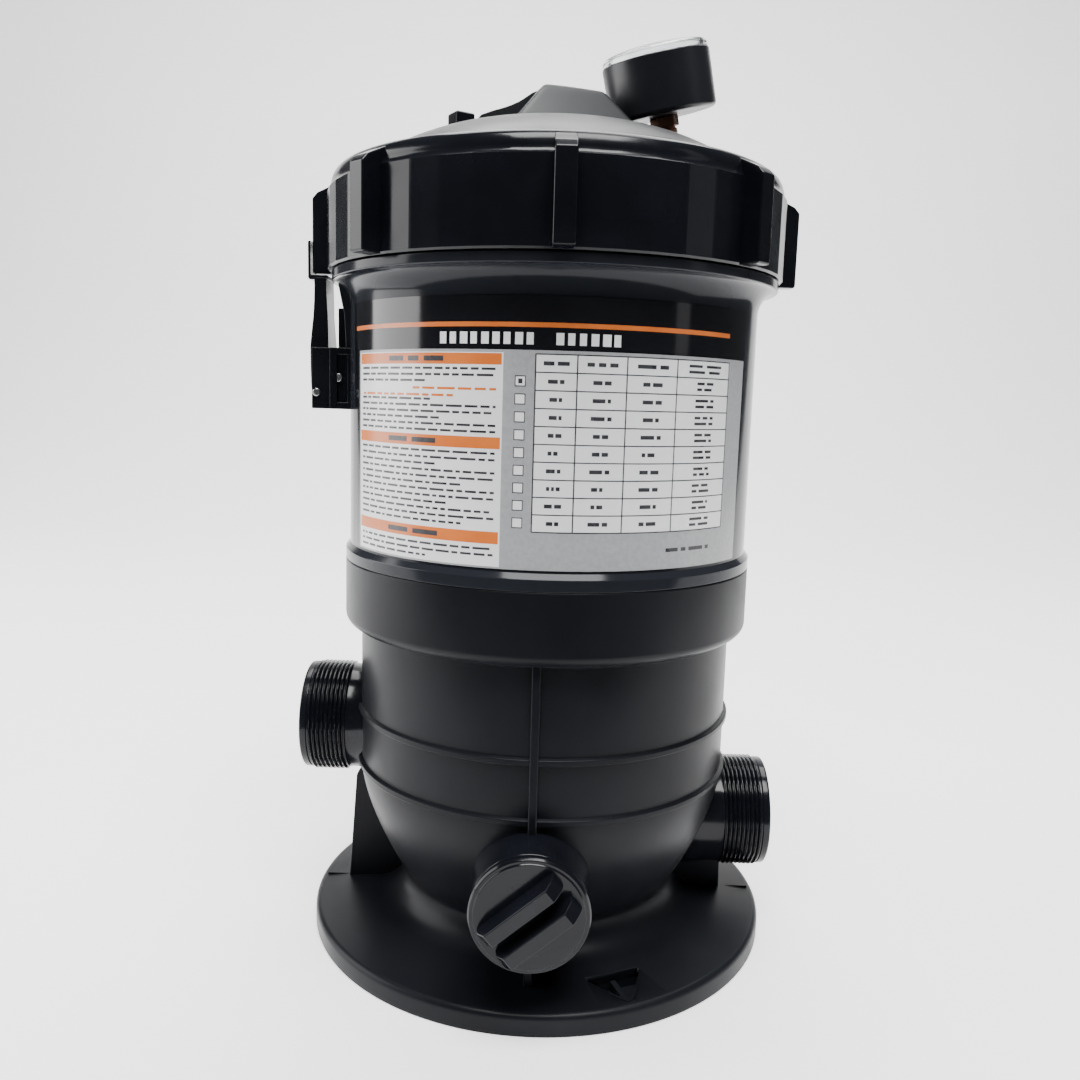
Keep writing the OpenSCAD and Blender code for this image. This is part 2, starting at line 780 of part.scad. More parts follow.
module drain_plug() {
    face = boss_y + 0.5;
    flange_t = 4.8;
    bar_l = 38;
    bar_w = 7.2;
    bar_h = 10.6;
    color(gloss_black)
    at_drain()
    difference() {
        union() {
            translate([0, 0, face]) cylinder(r = plug_r, h = flange_t - 1.6);
            translate([0, 0, face + flange_t - 1.6]) cylinder(r1 = plug_r, r2 = plug_r - 1.2, h = 1.6);
            translate([0, 0, face - spigot_l]) cylinder(r = drain_bore_r - 1.6, h = spigot_l + 1);
            ridges(drain_bore_r - 0.35, 1.3, face - spigot_l + 1.5, thread_pitch, 6);
            for (side = [-1, 1])
                rotate([0, 0, bar_turn])
                translate([0, side * 6.6, face + flange_t - 0.3])
                rotate([90, 0, 0])
                translate([0, 0, -bar_w / 2])
                linear_extrude(bar_w)
                    polygon([[-bar_l / 2 - 2.5, -0.6], [bar_l / 2 + 2.5, -0.6], [bar_l / 2 + 1.8, 5],
                        [bar_l / 2 - 2, bar_h], [-bar_l / 2 + 2, bar_h], [-bar_l / 2 - 1.8, 5]]);
        }
        translate([0, 0, face - spigot_l - 1]) cylinder(r = drain_bore_r - 5.4, h = spigot_l);
        ring(24, 20.6, face - 1, face + 1.2);
    }
}

module drain_oring() {
    color(seal_black)
    at_drain() ring(23.6, 21, boss_y + 0.1, boss_y + 1.5);
}

foot();
lower_body();
inlet_port();
outlet_port();
tank_shell();
seam_oring();
label();
outlet_pipe();
element_seat();
air_bleed_tube();
bleed_screen();
latch_bracket();
bracket_screws();
latch_pin();
latch_spring();
latch_lever();
pleated_media();
element_core();
element_top_cap();
element_bottom_cap();
lock_ring();
lid_shell();
lid_oring();
relief_knob();
relief_washer();
gauge_stem();
stem_washer();
gauge_case();
gauge_tube();
gauge_dial();
gauge_pointer();
gauge_lens();
drain_plug();
drain_oring();
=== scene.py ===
import json
import math
import random

import bmesh
import bpy
from mathutils import Matrix, Vector


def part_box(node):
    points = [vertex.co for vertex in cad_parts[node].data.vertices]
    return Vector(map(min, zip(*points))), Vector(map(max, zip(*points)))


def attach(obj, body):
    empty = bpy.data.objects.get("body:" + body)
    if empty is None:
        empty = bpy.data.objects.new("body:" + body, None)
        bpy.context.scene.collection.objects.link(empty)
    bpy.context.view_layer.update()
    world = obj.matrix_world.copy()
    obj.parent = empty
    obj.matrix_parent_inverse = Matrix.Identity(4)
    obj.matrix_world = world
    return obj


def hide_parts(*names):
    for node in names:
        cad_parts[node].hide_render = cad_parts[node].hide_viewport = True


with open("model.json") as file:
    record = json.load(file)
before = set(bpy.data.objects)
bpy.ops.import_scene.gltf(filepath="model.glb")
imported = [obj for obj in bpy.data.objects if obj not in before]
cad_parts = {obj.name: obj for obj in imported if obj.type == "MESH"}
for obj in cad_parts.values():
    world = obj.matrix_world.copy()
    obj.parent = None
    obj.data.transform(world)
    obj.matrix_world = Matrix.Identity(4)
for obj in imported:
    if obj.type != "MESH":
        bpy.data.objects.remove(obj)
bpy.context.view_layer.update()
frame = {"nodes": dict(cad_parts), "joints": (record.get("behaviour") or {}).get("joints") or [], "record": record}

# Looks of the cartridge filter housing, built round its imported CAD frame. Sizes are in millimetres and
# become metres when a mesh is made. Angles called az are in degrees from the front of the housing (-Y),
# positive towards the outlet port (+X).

MM = 0.001
TAU = 2 * math.pi
record = frame["record"]
mounts = {m["name"]: m for m in record["mounts"]}
joints = {j["name"]: j for j in frame["joints"]}


def box_mm(node):
    low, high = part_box(node)
    return low / MM, high / MM


# ---- driving values, from the frame

SEAM_Z = box_mm("lower_body")[1].z
FOOT_R = 122.8
INLET_END = -box_mm("inlet_port")[0].x
OUTLET_END = box_mm("outlet_port")[1].x
INLET_Z = mounts["inlet_thread"]["pos_m"][2] / MM
OUTLET_Z = mounts["outlet_thread"]["pos_m"][2] / MM
THREAD_R = mounts["inlet_thread"]["dims"]["r_mm"]
PORT_BORE_R = mounts["inlet_bore"]["dims"]["r_mm"]
ANCHOR_R = mounts["anchor_holes"]["dims"]["pcd_mm"] / 2
ANCHOR_HOLE_R = mounts["anchor_holes"]["dims"]["hole_r_mm"]

tank_low, tank_high = box_mm("tank_shell")
FLANGE_R = tank_high.x
NECK_TOP = tank_high.z
FLANGE_Z = NECK_TOP - 29
SPIGOT_LOW = tank_low.z

label_low, label_high = box_mm("label")
TANK_R = 104.5
LABEL_FROM_AZ, LABEL_TO_AZ = -66, 60

ring_low_corner, ring_high_corner = box_mm("lock_ring")
RING_LOW = ring_low_corner.z
RING_TOP = ring_high_corner.z
RIB_R = 124.9

gauge_joint = joints["gauge_needle_turn"]
GAUGE_AT = Vector(gauge_joint["pos_m"]) / MM
VALVE_AT = Vector(joints["relief_turn"]["pos_m"]) / MM
LID_TURN = math.radians(18)
DRAIN_X, _, DRAIN_Z = [v / MM for v in joints["drain_turn"]["pos_m"]]
BOSS_Y = -box_mm("drain_oring")[0].y - 1.5
LATCH_PIN = Vector(joints["latch_swing"]["pos_m"]) / MM

# ---- camera and light

CAMERA_BACK = 519.6
CAMERA_HEIGHT = 283.3
CAMERA_LENS = 32.29
CAMERA_SENSOR = 36
CAMERA_PITCH = math.radians(8.31)
CAMERA_ROLL = math.radians(1.63)
CAMERA_YAW = math.radians(-0.42)


def turn_z(angle):
    return Matrix.Rotation(angle, 4, "Z")


def make_camera():
    place = Matrix.Translation((0, -CAMERA_BACK * MM, CAMERA_HEIGHT * MM))
    pitch = Matrix.Rotation(math.pi / 2 - CAMERA_PITCH, 4, "X")
    data = bpy.data.cameras.new("camera")
    data.lens = CAMERA_LENS
    data.sensor_width = CAMERA_SENSOR
    data.clip_start = 0.01
    camera = bpy.data.objects.new("camera", data)
    camera.matrix_world = place @ turn_z(-CAMERA_YAW) @ pitch @ turn_z(CAMERA_ROLL)
    bpy.context.scene.collection.objects.link(camera)
    bpy.context.scene.camera = camera


def make_light(name, place, target, size, size_y, power):
    data = bpy.data.lights.new(name, "AREA")
    data.shape = "RECTANGLE"
    data.size = size
    data.size_y = size_y
    data.energy = power
    light = bpy.data.objects.new(name, data)
    light.location = place
    light.rotation_euler = (Vector(target) - Vector(place)).to_track_quat("-Z", "Y").to_euler()
    bpy.context.scene.collection.objects.link(light)


def make_world():
    world = bpy.data.worlds.new("studio")
    world.use_nodes = True
    tree = world.node_tree
    tree.nodes.clear()
    output = tree.nodes.new("ShaderNodeOutputWorld")
    path = tree.nodes.new("ShaderNodeLightPath")
    mix = tree.nodes.new("ShaderNodeMixShader")
    tree.links.new(path.outputs["Is Camera Ray"], mix.inputs["Fac"])
    room = ((0.93, 0.96, 1.0, 1), 0.1)
    backdrop = ((1, 1, 1, 1), 6.0)
    for socket, (color, strength) in enumerate((room, backdrop), 1):
        node = tree.nodes.new("ShaderNodeBackground")
        node.inputs["Color"].default_value = color
        node.inputs["Strength"].default_value = strength
        tree.links.new(node.outputs[0], mix.inputs[socket])
    tree.links.new(mix.outputs[0], output.inputs["Surface"])
    bpy.context.scene.world = world


# ---- materials


materials = {}
# stretch of the slow waves in the moulded tank, longer up and down than round it
WAVES = (1, 1, 0.3)


class Shader:
    """A Principled material whose colour, roughness and bump come from noise in object space."""

    def __init__(self, name, color, rough):
        material = bpy.data.materials.new(name)
        material.use_nodes = True
        materials[name] = material
        self.tree = material.node_tree
        self.bsdf = self.tree.nodes["Principled BSDF"]
        self.coords = self.tree.nodes.new("ShaderNodeTexCoord")
        self.color = color
        self.rough = rough

    def noise(self, scale, detail=3.0, stretch=None):
        node = self.tree.nodes.new("ShaderNodeTexNoise")
        node.inputs["Scale"].default_value = scale
        node.inputs["Detail"].default_value = detail
        source = self.coords.outputs["Object"]
        if stretch:
            mapping = self.tree.nodes.new("ShaderNodeMapping")
            mapping.inputs["Scale"].default_value = stretch
            self.tree.links.new(source, mapping.inputs["Vector"])
            source = mapping.outputs["Vector"]
        self.tree.links.new(source, node.inputs["Vector"])
        return node.outputs["Fac"]

    def vary_color(self, scale, other):
        """Mixes the colour towards another by a noise."""
        ramp = self.tree.nodes.new("ShaderNodeValToRGB")
        ramp.color_ramp.elements[0].position = 0.35
        ramp.color_ramp.elements[1].position = 0.65
        ramp.color_ramp.elements[0].color = (*self.color, 1)
        ramp.color_ramp.elements[1].color = (*other, 1)
        self.tree.links.new(self.noise(scale), ramp.inputs["Fac"])
        self.tree.links.new(ramp.outputs["Color"], self.bsdf.inputs["Base Color"])
        return self

    def vary_rough(self, scale, spread, stretch=None):
        node = self.tree.nodes.new("ShaderNodeMapRange")
        node.inputs["From Min"].default_value = 0.3
        node.inputs["From Max"].default_value = 0.7
        node.inputs["To Min"].default_value = max(0.02, self.rough - spread)
        node.inputs["To Max"].default_value = self.rough + spread
        self.tree.links.new(self.noise(scale, 4.0, stretch), node.inputs["Value"])
        self.tree.links.new(node.outputs["Result"], self.bsdf.inputs["Roughness"])
        return self

    def bump(self, layers):
        """layers: (noise scale, strength, depth in millimetres and perhaps a stretch), coarsest last."""
        normal = None
        for scale, strength, depth, *stretch in layers:
            node = self.tree.nodes.new("ShaderNodeBump")
            node.inputs["Strength"].default_value = strength
            node.inputs["Distance"].default_value = depth * MM
            self.tree.links.new(self.noise(scale, 2.0, *stretch), node.inputs["Height"])
            if normal:
                self.tree.links.new(normal, node.inputs["Normal"])
            normal = node.outputs["Normal"]
        self.tree.links.new(normal, self.bsdf.inputs["Normal"])
        return self

    def set(self, values):
        for key, value in values.items():
            self.bsdf.inputs[key].default_value = value


def lighter(color, factor):
    return tuple(min(1, c * factor) for c in color)


def make_materials():
    """Rows of name, colour, roughness, scale of the colour noise, the colour that it varies to, scale of
    the roughness noise, its spread and the bump layers, and then what else a material sets."""
    satin = (0.0055, 0.006, 0.0078)
    gloss = (0.004, 0.0045, 0.0065)
    grey = (0.0135, 0.015, 0.019)
    film_waves = [(16, 0.1, 0.2, WAVES)]
    rows = [
        ("satin_black", satin, 0.36, 14, lighter(satin, 1.5), 22, 0.07,
         [(1500, 0.35, 0.05), (60, 0.12, 0.12)]),
        ("lid_grey", (0.0115, 0.0125, 0.0145), 0.34, 12, (0.019, 0.0205, 0.023), 20, 0.08,
         [(1500, 0.3, 0.04), (40, 0.1, 0.14)]),
        ("gloss_black", gloss, 0.17, 30, lighter(gloss, 1.6), 35, 0.06, [(26, 0.12, 0.16), (9, 0.1, 0.3)]),
        ("tank_grey", grey, 0.14, 11, lighter(grey, 1.18), 18, 0.04,
         [(30, 0.06, 0.12), (14, 0.16, 0.25, WAVES)]),
        ("seal_rubber", (0.012, 0.012, 0.012), 0.62, 60, (0.03, 0.03, 0.03), 80, 0.1, [(900, 0.3, 0.04)]),
        ("label_black", (0.004, 0.0042, 0.006), 0.1, 30, (0.007, 0.0072, 0.009), 12, 0.03,
         [(16, 0.14, 0.22, WAVES)]),
        ("white_plastic", (0.66, 0.67, 0.66), 0.42, 18, (0.73, 0.73, 0.71), 30, 0.08, [(1200, 0.15, 0.04)]),
        ("spring_steel", (0.4, 0.41, 0.43), 0.3, 120, (0.5, 0.5, 0.51), 200, 0.1, [(800, 0.15, 0.02)]),
        ("brass", (0.2, 0.1, 0.06), 0.32, 110, (0.09, 0.045, 0.03), 180, 0.12,
         [(600, 0.15, 0.03, (1, 1, 6))]),
        ("filter_media", (0.78, 0.8, 0.83), 0.85, 260, (0.68, 0.71, 0.75), 60, 0.08,
         [(2200, 0.5, 0.08), (350, 0.3, 0.15)]),
        ("cap_blue", (0.03, 0.1, 0.3), 0.4, 20, (0.04, 0.13, 0.36), 24, 0.08,
         [(500, 0.1, 0.05), (22, 0.2, 0.25)]),
        ("gauge_black", (0.007, 0.0075, 0.011), 0.34, 40, (0.01, 0.0105, 0.015), 45, 0.07,
         [(1300, 0.14, 0.03), (40, 0.1, 0.12)]),
        ("dial_white", (0.82, 0.82, 0.8), 0.5, 70, (0.86, 0.86, 0.85), 60, 0.06, [(1500, 0.08, 0.02)]),
        ("pointer_black", (0.01, 0.01, 0.01), 0.45, 200, (0.02, 0.02, 0.02), 100, 0.08,
         [(1500, 0.1, 0.02)]),
        ("clear_lens", (0.97, 0.98, 0.985), 0.05, 30, (0.94, 0.96, 0.97), 60, 0.03, [(40, 0.05, 0.05)]),
        ("label_grey", (0.36, 0.365, 0.375), 0.24, 500, (0.4, 0.405, 0.415), 12, 0.04, film_waves),
        ("label_white", (0.92, 0.925, 0.93), 0.25, 40, (0.95, 0.95, 0.955), 14, 0.04, film_waves),
        ("label_orange", (0.72, 0.17, 0.03), 0.25, 60, (0.78, 0.2, 0.04), 14, 0.04, film_waves),
        ("label_ink", (0.03, 0.03, 0.035), 0.28, 300, (0.05, 0.05, 0.055), 40, 0.05, film_waves),
    ]
    settings = {
        "satin_black": {"Specular IOR Level": 0.12},
        "lid_grey": {"Specular IOR Level": 0.23},
        "gloss_black": {"Specular IOR Level": 0.24},
        "tank_grey": {"Specular IOR Level": 0.17},
        "steel": {"Metallic": 1},
        "spring_steel": {"Metallic": 1},
        "brass": {"Metallic": 1},
        "filter_media": {"Sheen Weight": 0.3},
        "clear_lens": {"Transmission Weight": 1.0, "IOR": 1.45},
    }
    for name, color, rough, grain, other, patches, spread, layers in rows:
        shader = Shader(name, color, rough).vary_color(grain, other).vary_rough(patches, spread)
        shader.bump(layers).set(settings.get(name, {}))
    steel = Shader("steel", (0.56, 0.57, 0.58), 0.26).vary_color(90, (0.64, 0.64, 0.65))
    steel.vary_rough(160, 0.1, (1, 8, 1)).bump([(700, 0.12, 0.02, (1, 8, 1))]).set(settings["steel"])


make_camera()
make_world()
make_materials()
SLOT_OF = {name: name for name in materials}
SLOT_OF["lid_grey"] = "tank_grey"
for film in ("label_black", "label_grey", "label_white", "label_orange", "label_ink"):
    SLOT_OF[film] = "label_film"

# ---- mesh helpers


def polar(radius, az, z):
    """A point at an angle in degrees from the front."""
    a = math.radians(az)
    return (radius * math.sin(a), -radius * math.cos(a), z)


def rounded(points, steps=4):
    """An outline with its corners rounded: points are (x, y) or (x, y, radius)."""
    result = []
    count = len(points)
    for i, point in enumerate(points):
        corner = Vector(point[:2])
        radius = point[2] if len(point) > 2 else 0
        if not radius:
            result.append(tuple(corner))
            continue
        back = Vector(points[i - 1][:2]) - corner
        ahead = Vector(points[(i + 1) % count][:2]) - corner
        half = back.angle(ahead) / 2
        cut = min(radius / math.tan(half), back.length * 0.48, ahead.length * 0.48)
        radius = cut * math.tan(half)
        middle = (back.normalized() + ahead.normalized()).normalized()
        centre = corner + middle * (radius / math.sin(half))
        start = corner + back.normalized() * cut - centre
        end = corner + ahead.normalized() * cut - centre
        first = math.atan2(start.y, start.x)
        sweep = (math.atan2(end.y, end.x) - first + math.pi) % TAU - math.pi
        for k in range(steps + 1):
            a = first + sweep * k / steps
            result.append((centre.x + radius * math.cos(a), centre.y + radius * math.sin(a)))
    return result


def arc(cx, cy, radius, start, end, steps, radius_y=None):
    """Points of an arc; angles in degrees."""
    radius_y = radius_y or radius
    angles = [math.radians(start + (end - start) * k / steps) for k in range(steps + 1)]
    return [(cx + radius * math.cos(a), cy + radius_y * math.sin(a)) for a in angles]


def turned(profile, angles, place=None):
    """Vertices and faces of a closed outline (radius, z) turned about Z.

    angles is a count or a list of angles; place(r, z, a) may move each point to (r, z).
    """
    if isinstance(angles, int):
        angles = [TAU * i / angles for i in range(angles)]
    vertices = []
    rows = []
    for radius, z in profile:
        if radius < 1e-6:
            rows.append([len(vertices)])
            vertices.append((0, 0, place(0, z, 0)[1] if place else z))
            continue
        rows.append(list(range(len(vertices), len(vertices) + len(angles))))
        for a in angles:
            r, h = place(radius, z, a) if place else (radius, z)
            vertices.append((r * math.cos(a), r * math.sin(a), h))
    faces = []
    for k, row in enumerate(rows):
        after = rows[(k + 1) % len(rows)]
        if len(row) == 1 and len(after) == 1:
            continue
        for i in range(len(angles)):
            j = (i + 1) % len(angles)
            if len(row) == 1:
                faces.append((row[0], after[j], after[i]))
            elif len(after) == 1:
                faces.append((row[i], row[j], after[0]))
            else:
                faces.append((row[i], row[j], after[j], after[i]))
    return vertices, faces


def prism(outline, low, high):
    """Vertices and faces of an outline (x, y) extruded along Z."""
    count = len(outline)
    vertices = [(x, y, low) for x, y in outline] + [(x, y, high) for x, y in outline]
    faces = [tuple(reversed(range(count))), tuple(range(count, 2 * count))]
    faces += [(i, (i + 1) % count, count + (i + 1) % count, count + i) for i in range(count)]
    return vertices, faces


def loft(sections):
    """Vertices and faces through rings of the same number of points, closed at both ends."""
    count = len(sections[0])
    vertices = [point for section in sections for point in section]
    faces = [tuple(reversed(range(count)))]
    for k in range(len(sections) - 1):
        base = k * count
        for i in range(count):
            j = (i + 1) % count
            faces.append((base + i, base + j, base + count + j, base + count + i))
    faces.append(tuple(range(len(vertices) - count, len(vertices))))
    return vertices, faces


def collar(first, second, low, high):
    """Vertices and faces of a ring between two outlines with the same number of points."""
    count = len(first)
    up = 2 * count
    vertices = [(x, y, z) for z in (low, high) for x, y in first + second]
    faces = []
    for i in range(count):
        j = (i + 1) % count
        faces.append((i, count + i, count + j, j))
        faces.append((up + i, up + j, up + count + j, up + count + i))
        faces.append((i, j, up + j, up + i))
        faces.append((count + i, up + count + i, up + count + j, count + j))
    return vertices, faces


# stands an outline (x, z) upright, with its thickness along Y
STAND = Matrix.Rotation(math.pi / 2, 4, "X")


def moved(shape, matrix):
    vertices, faces = shape
    return [tuple(matrix @ Vector(v)) for v in vertices], faces


def build(name, shapes, sharp=38, bevel=0, flat=None, bevel_steps=3):
    """An object from one or more shapes, with outward normals, soft bevels and clean shading."""
    mesh = bpy.data.meshes.new(name)
    vertices = []
    faces = []
    for shape_vertices, shape_faces in shapes:
        base = len(vertices)
        vertices += [tuple(c * MM for c in v) for v in shape_vertices]
        faces += [tuple(base + i for i in face) for face in shape_faces]
    mesh.from_pydata(vertices, [], faces)
    work = bmesh.new()
    work.from_mesh(mesh)
    bmesh.ops.remove_doubles(work, verts=work.verts, dist=1e-8)
    bmesh.ops.recalc_face_normals(work, faces=work.faces)
    for face in work.faces:
        face.smooth = not (flat and flat(face))
    for edge in work.edges:
        if len(edge.link_faces) == 2:
            edge.smooth = bevel > 0 or edge.calc_face_angle(0) < math.radians(sharp)
    work.to_mesh(mesh)
    work.free()
    obj = bpy.data.objects.new(name, mesh)
    bpy.context.scene.collection.objects.link(obj)
    if bevel:
        modifier = obj.modifiers.new("bevel", "BEVEL")
        modifier.width = bevel * MM
        modifier.segments = bevel_steps
        modifier.limit_method = "ANGLE"
        modifier.angle_limit = math.radians(32)
        modifier.harden_normals = True
    elif not flat:
        modifier = obj.modifiers.new("normals", "WEIGHTED_NORMAL")
        modifier.keep_sharp = True
    return obj


def dress(obj, body, material, *nodes):
    """Gives a piece its material and its body, and hides the CAD nodes that it stands for."""
    obj.data.materials.append(materials[material])
    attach(obj, body)
    if nodes:
        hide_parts(*nodes)


def piece(name, shapes, body, material, *nodes, **edges):
    dress(build(name, shapes, **edges), body, material, *nodes)


def lathe(name, profile, count, place, body, material, *nodes):
    """A piece turned from one outline and set in its place."""
    piece(name, [moved(turned(profile, count), place)], body, material, *nodes)


def cut(obj, shapes):
    """Takes closed shapes out of an object."""
    tool = build(obj.name + "_tool", shapes)
    tool.modifiers.clear()
    modifier = obj.modifiers.new("cut", "BOOLEAN")
    modifier.operation = "DIFFERENCE"
    modifier.solver = "EXACT"
    modifier.object = tool
    bpy.context.view_layer.update()
    depsgraph = bpy.context.evaluated_depsgraph_get()
    others = [m for m in obj.modifiers if m.name != "cut"]
    for other in others:
        other.show_viewport = False
    bpy.context.view_layer.update()
    mesh = bpy.data.meshes.new_from_object(obj.evaluated_get(depsgraph))
    for other in others:
        other.show_viewport = True
    obj.modifiers.remove(modifier)
    old = obj.data
    obj.data = mesh
    bpy.data.meshes.remove(old)
    bpy.data.objects.remove(tool)


def thread_bump(phase):
    """Height of a rounded ridge over one turn of a thread, 0 to 1."""
    return min(1.0, max(0.0, (0.5 - abs(phase - 0.5)) * 2.9 - 0.3))


def thread(low, high, pitch, depth, root):
    """A place function that raises a helical ridge on the root radius, between low and high."""
    fade = pitch * 0.7

    def place(r, z, a):
        if not low < z < high or abs(r - root) > 0.01:
            return r, z
        envelope = min(1.0, (z - low) / fade, (high - z) / fade)
        return r + depth * envelope * thread_bump(((z - low) / pitch - a / TAU) % 1), z

    return place


def rows_between(radius, low, high, step):
    count = round((high - low) / step)
    return [(radius, low + (high - low) * k / count) for k in range(count + 1)]


# ---- lower body

BOWL_R = 98.5
NECK_R = 74.8
NECK_Z = 28
BOWL_Z = 88
BOWL_CURVE = 1.55
FILLET_R = 15
FLOOR_Z = 27
BAND_R = 106.8
BAND_Z = 170.8
BAND_LOW_Z = 164.5
BEAD_ZS = (90.6, 119.6)
SOCKET_R = 101.4
SOCKET_Z = 172
BODY_WALL = 5.2
BOSS_R = 27
DRAIN_BORE_R = 19
PORT_NECK_R = 28.3
LEAD_R = 28.9
LEAD_L = 4
THREAD_PITCH = 2.309
THREAD_TURNS = 9
THREAD_DEPTH = 1.4
ANCHOR_AZ = 21.8
FIN_T = 4.4
RIB_T = 4
HUB_TOP = 21.5
STIFFENERS = 8
# a triangular pocket round each anchor hole, and the solid round it
POCKET_LOW = 4.2
POCKET_Y = -104.5
POCKET_WALL = 1.13


def bowl_at(z):
    drop = max(0, BOWL_Z - z) / (BOWL_Z - NECK_Z)
    return BOWL_R - (BOWL_R - NECK_R) * drop**BOWL_CURVE


def bead(z):
    return [(BOWL_R, z - 2), (BOWL_R + 1.9, z - 1.3, 0.6), (BOWL_R + 1.9, z + 1.3, 0.6), (BOWL_R, z + 2)]


def port_shape(end, start, flare):
    """A threaded port along +Z, with its end at the given distance."""
    thread_low = end - LEAD_L - THREAD_TURNS * THREAD_PITCH
    thread_high = end - LEAD_L
    root = THREAD_R - THREAD_DEPTH
    outline = [(PORT_BORE_R, start), (PORT_BORE_R, end, 1.0), (LEAD_R, end, 1.2),
               (LEAD_R, thread_high + 0.4, 0.3)]
    outline += list(reversed(rows_between(root, thread_low, thread_high, THREAD_PITCH / 12)))
    outline += [(PORT_NECK_R, thread_low - 1.2), (PORT_NECK_R, start + flare),
                (PORT_NECK_R + 0.4, start + flare * 0.6), (PORT_NECK_R + 1.6, start)]
    ridge = thread(thread_low - 0.01, thread_high + 0.01, THREAD_PITCH, THREAD_DEPTH, root)
    return turned(rounded(outline), 160, ridge)


def fin(top_x, low_x):
    """Web between the bowl and the foot, in the plane of the ports."""
    outline = rounded([(66, 8), (low_x, 8), (top_x + 0.4, 72, 6), (BOWL_R - 6, 90), (72, 60)])
    return moved(prism(outline, -FIN_T / 2, FIN_T / 2), STAND)


def upright(outline, x, half):
    """An outline (y, z) extruded along X about the given place."""
    turn = Matrix(((0, 0, 1, x), (1, 0, 0, 0), (0, 1, 0, 0), (0, 0, 0, 1)))
    return moved(prism(outline, -half, half), turn)


def rib_shapes():
    tall = rounded([(-95, 82), (-BOWL_R - 3.2, 82), (-BOWL_R - 3.2, BAND_Z - 1, 1.5), (-95, BAND_Z)])
    low = rounded([(-72, 9), (-BOWL_R - 5, 9), (-BOWL_R - 5, 34, 8), (-72, 52)])
    return [upright(tall, DRAIN_X, RIB_T / 2), upright(low, DRAIN_X, RIB_T / 2)]


def anchor_matrix(turn):
    return turn_z(math.radians(ANCHOR_AZ) + turn)


AT_INLET = Matrix.Translation((0, 0, INLET_Z)) @ Matrix.Rotation(-math.pi / 2, 4, "Y")
AT_OUTLET = Matrix.Translation((0, 0, OUTLET_Z)) @ Matrix.Rotation(math.pi / 2, 4, "Y")
AT_DRAIN = Matrix.Translation((DRAIN_X, 0, DRAIN_Z)) @ STAND
HALF_TURN = turn_z(math.pi)


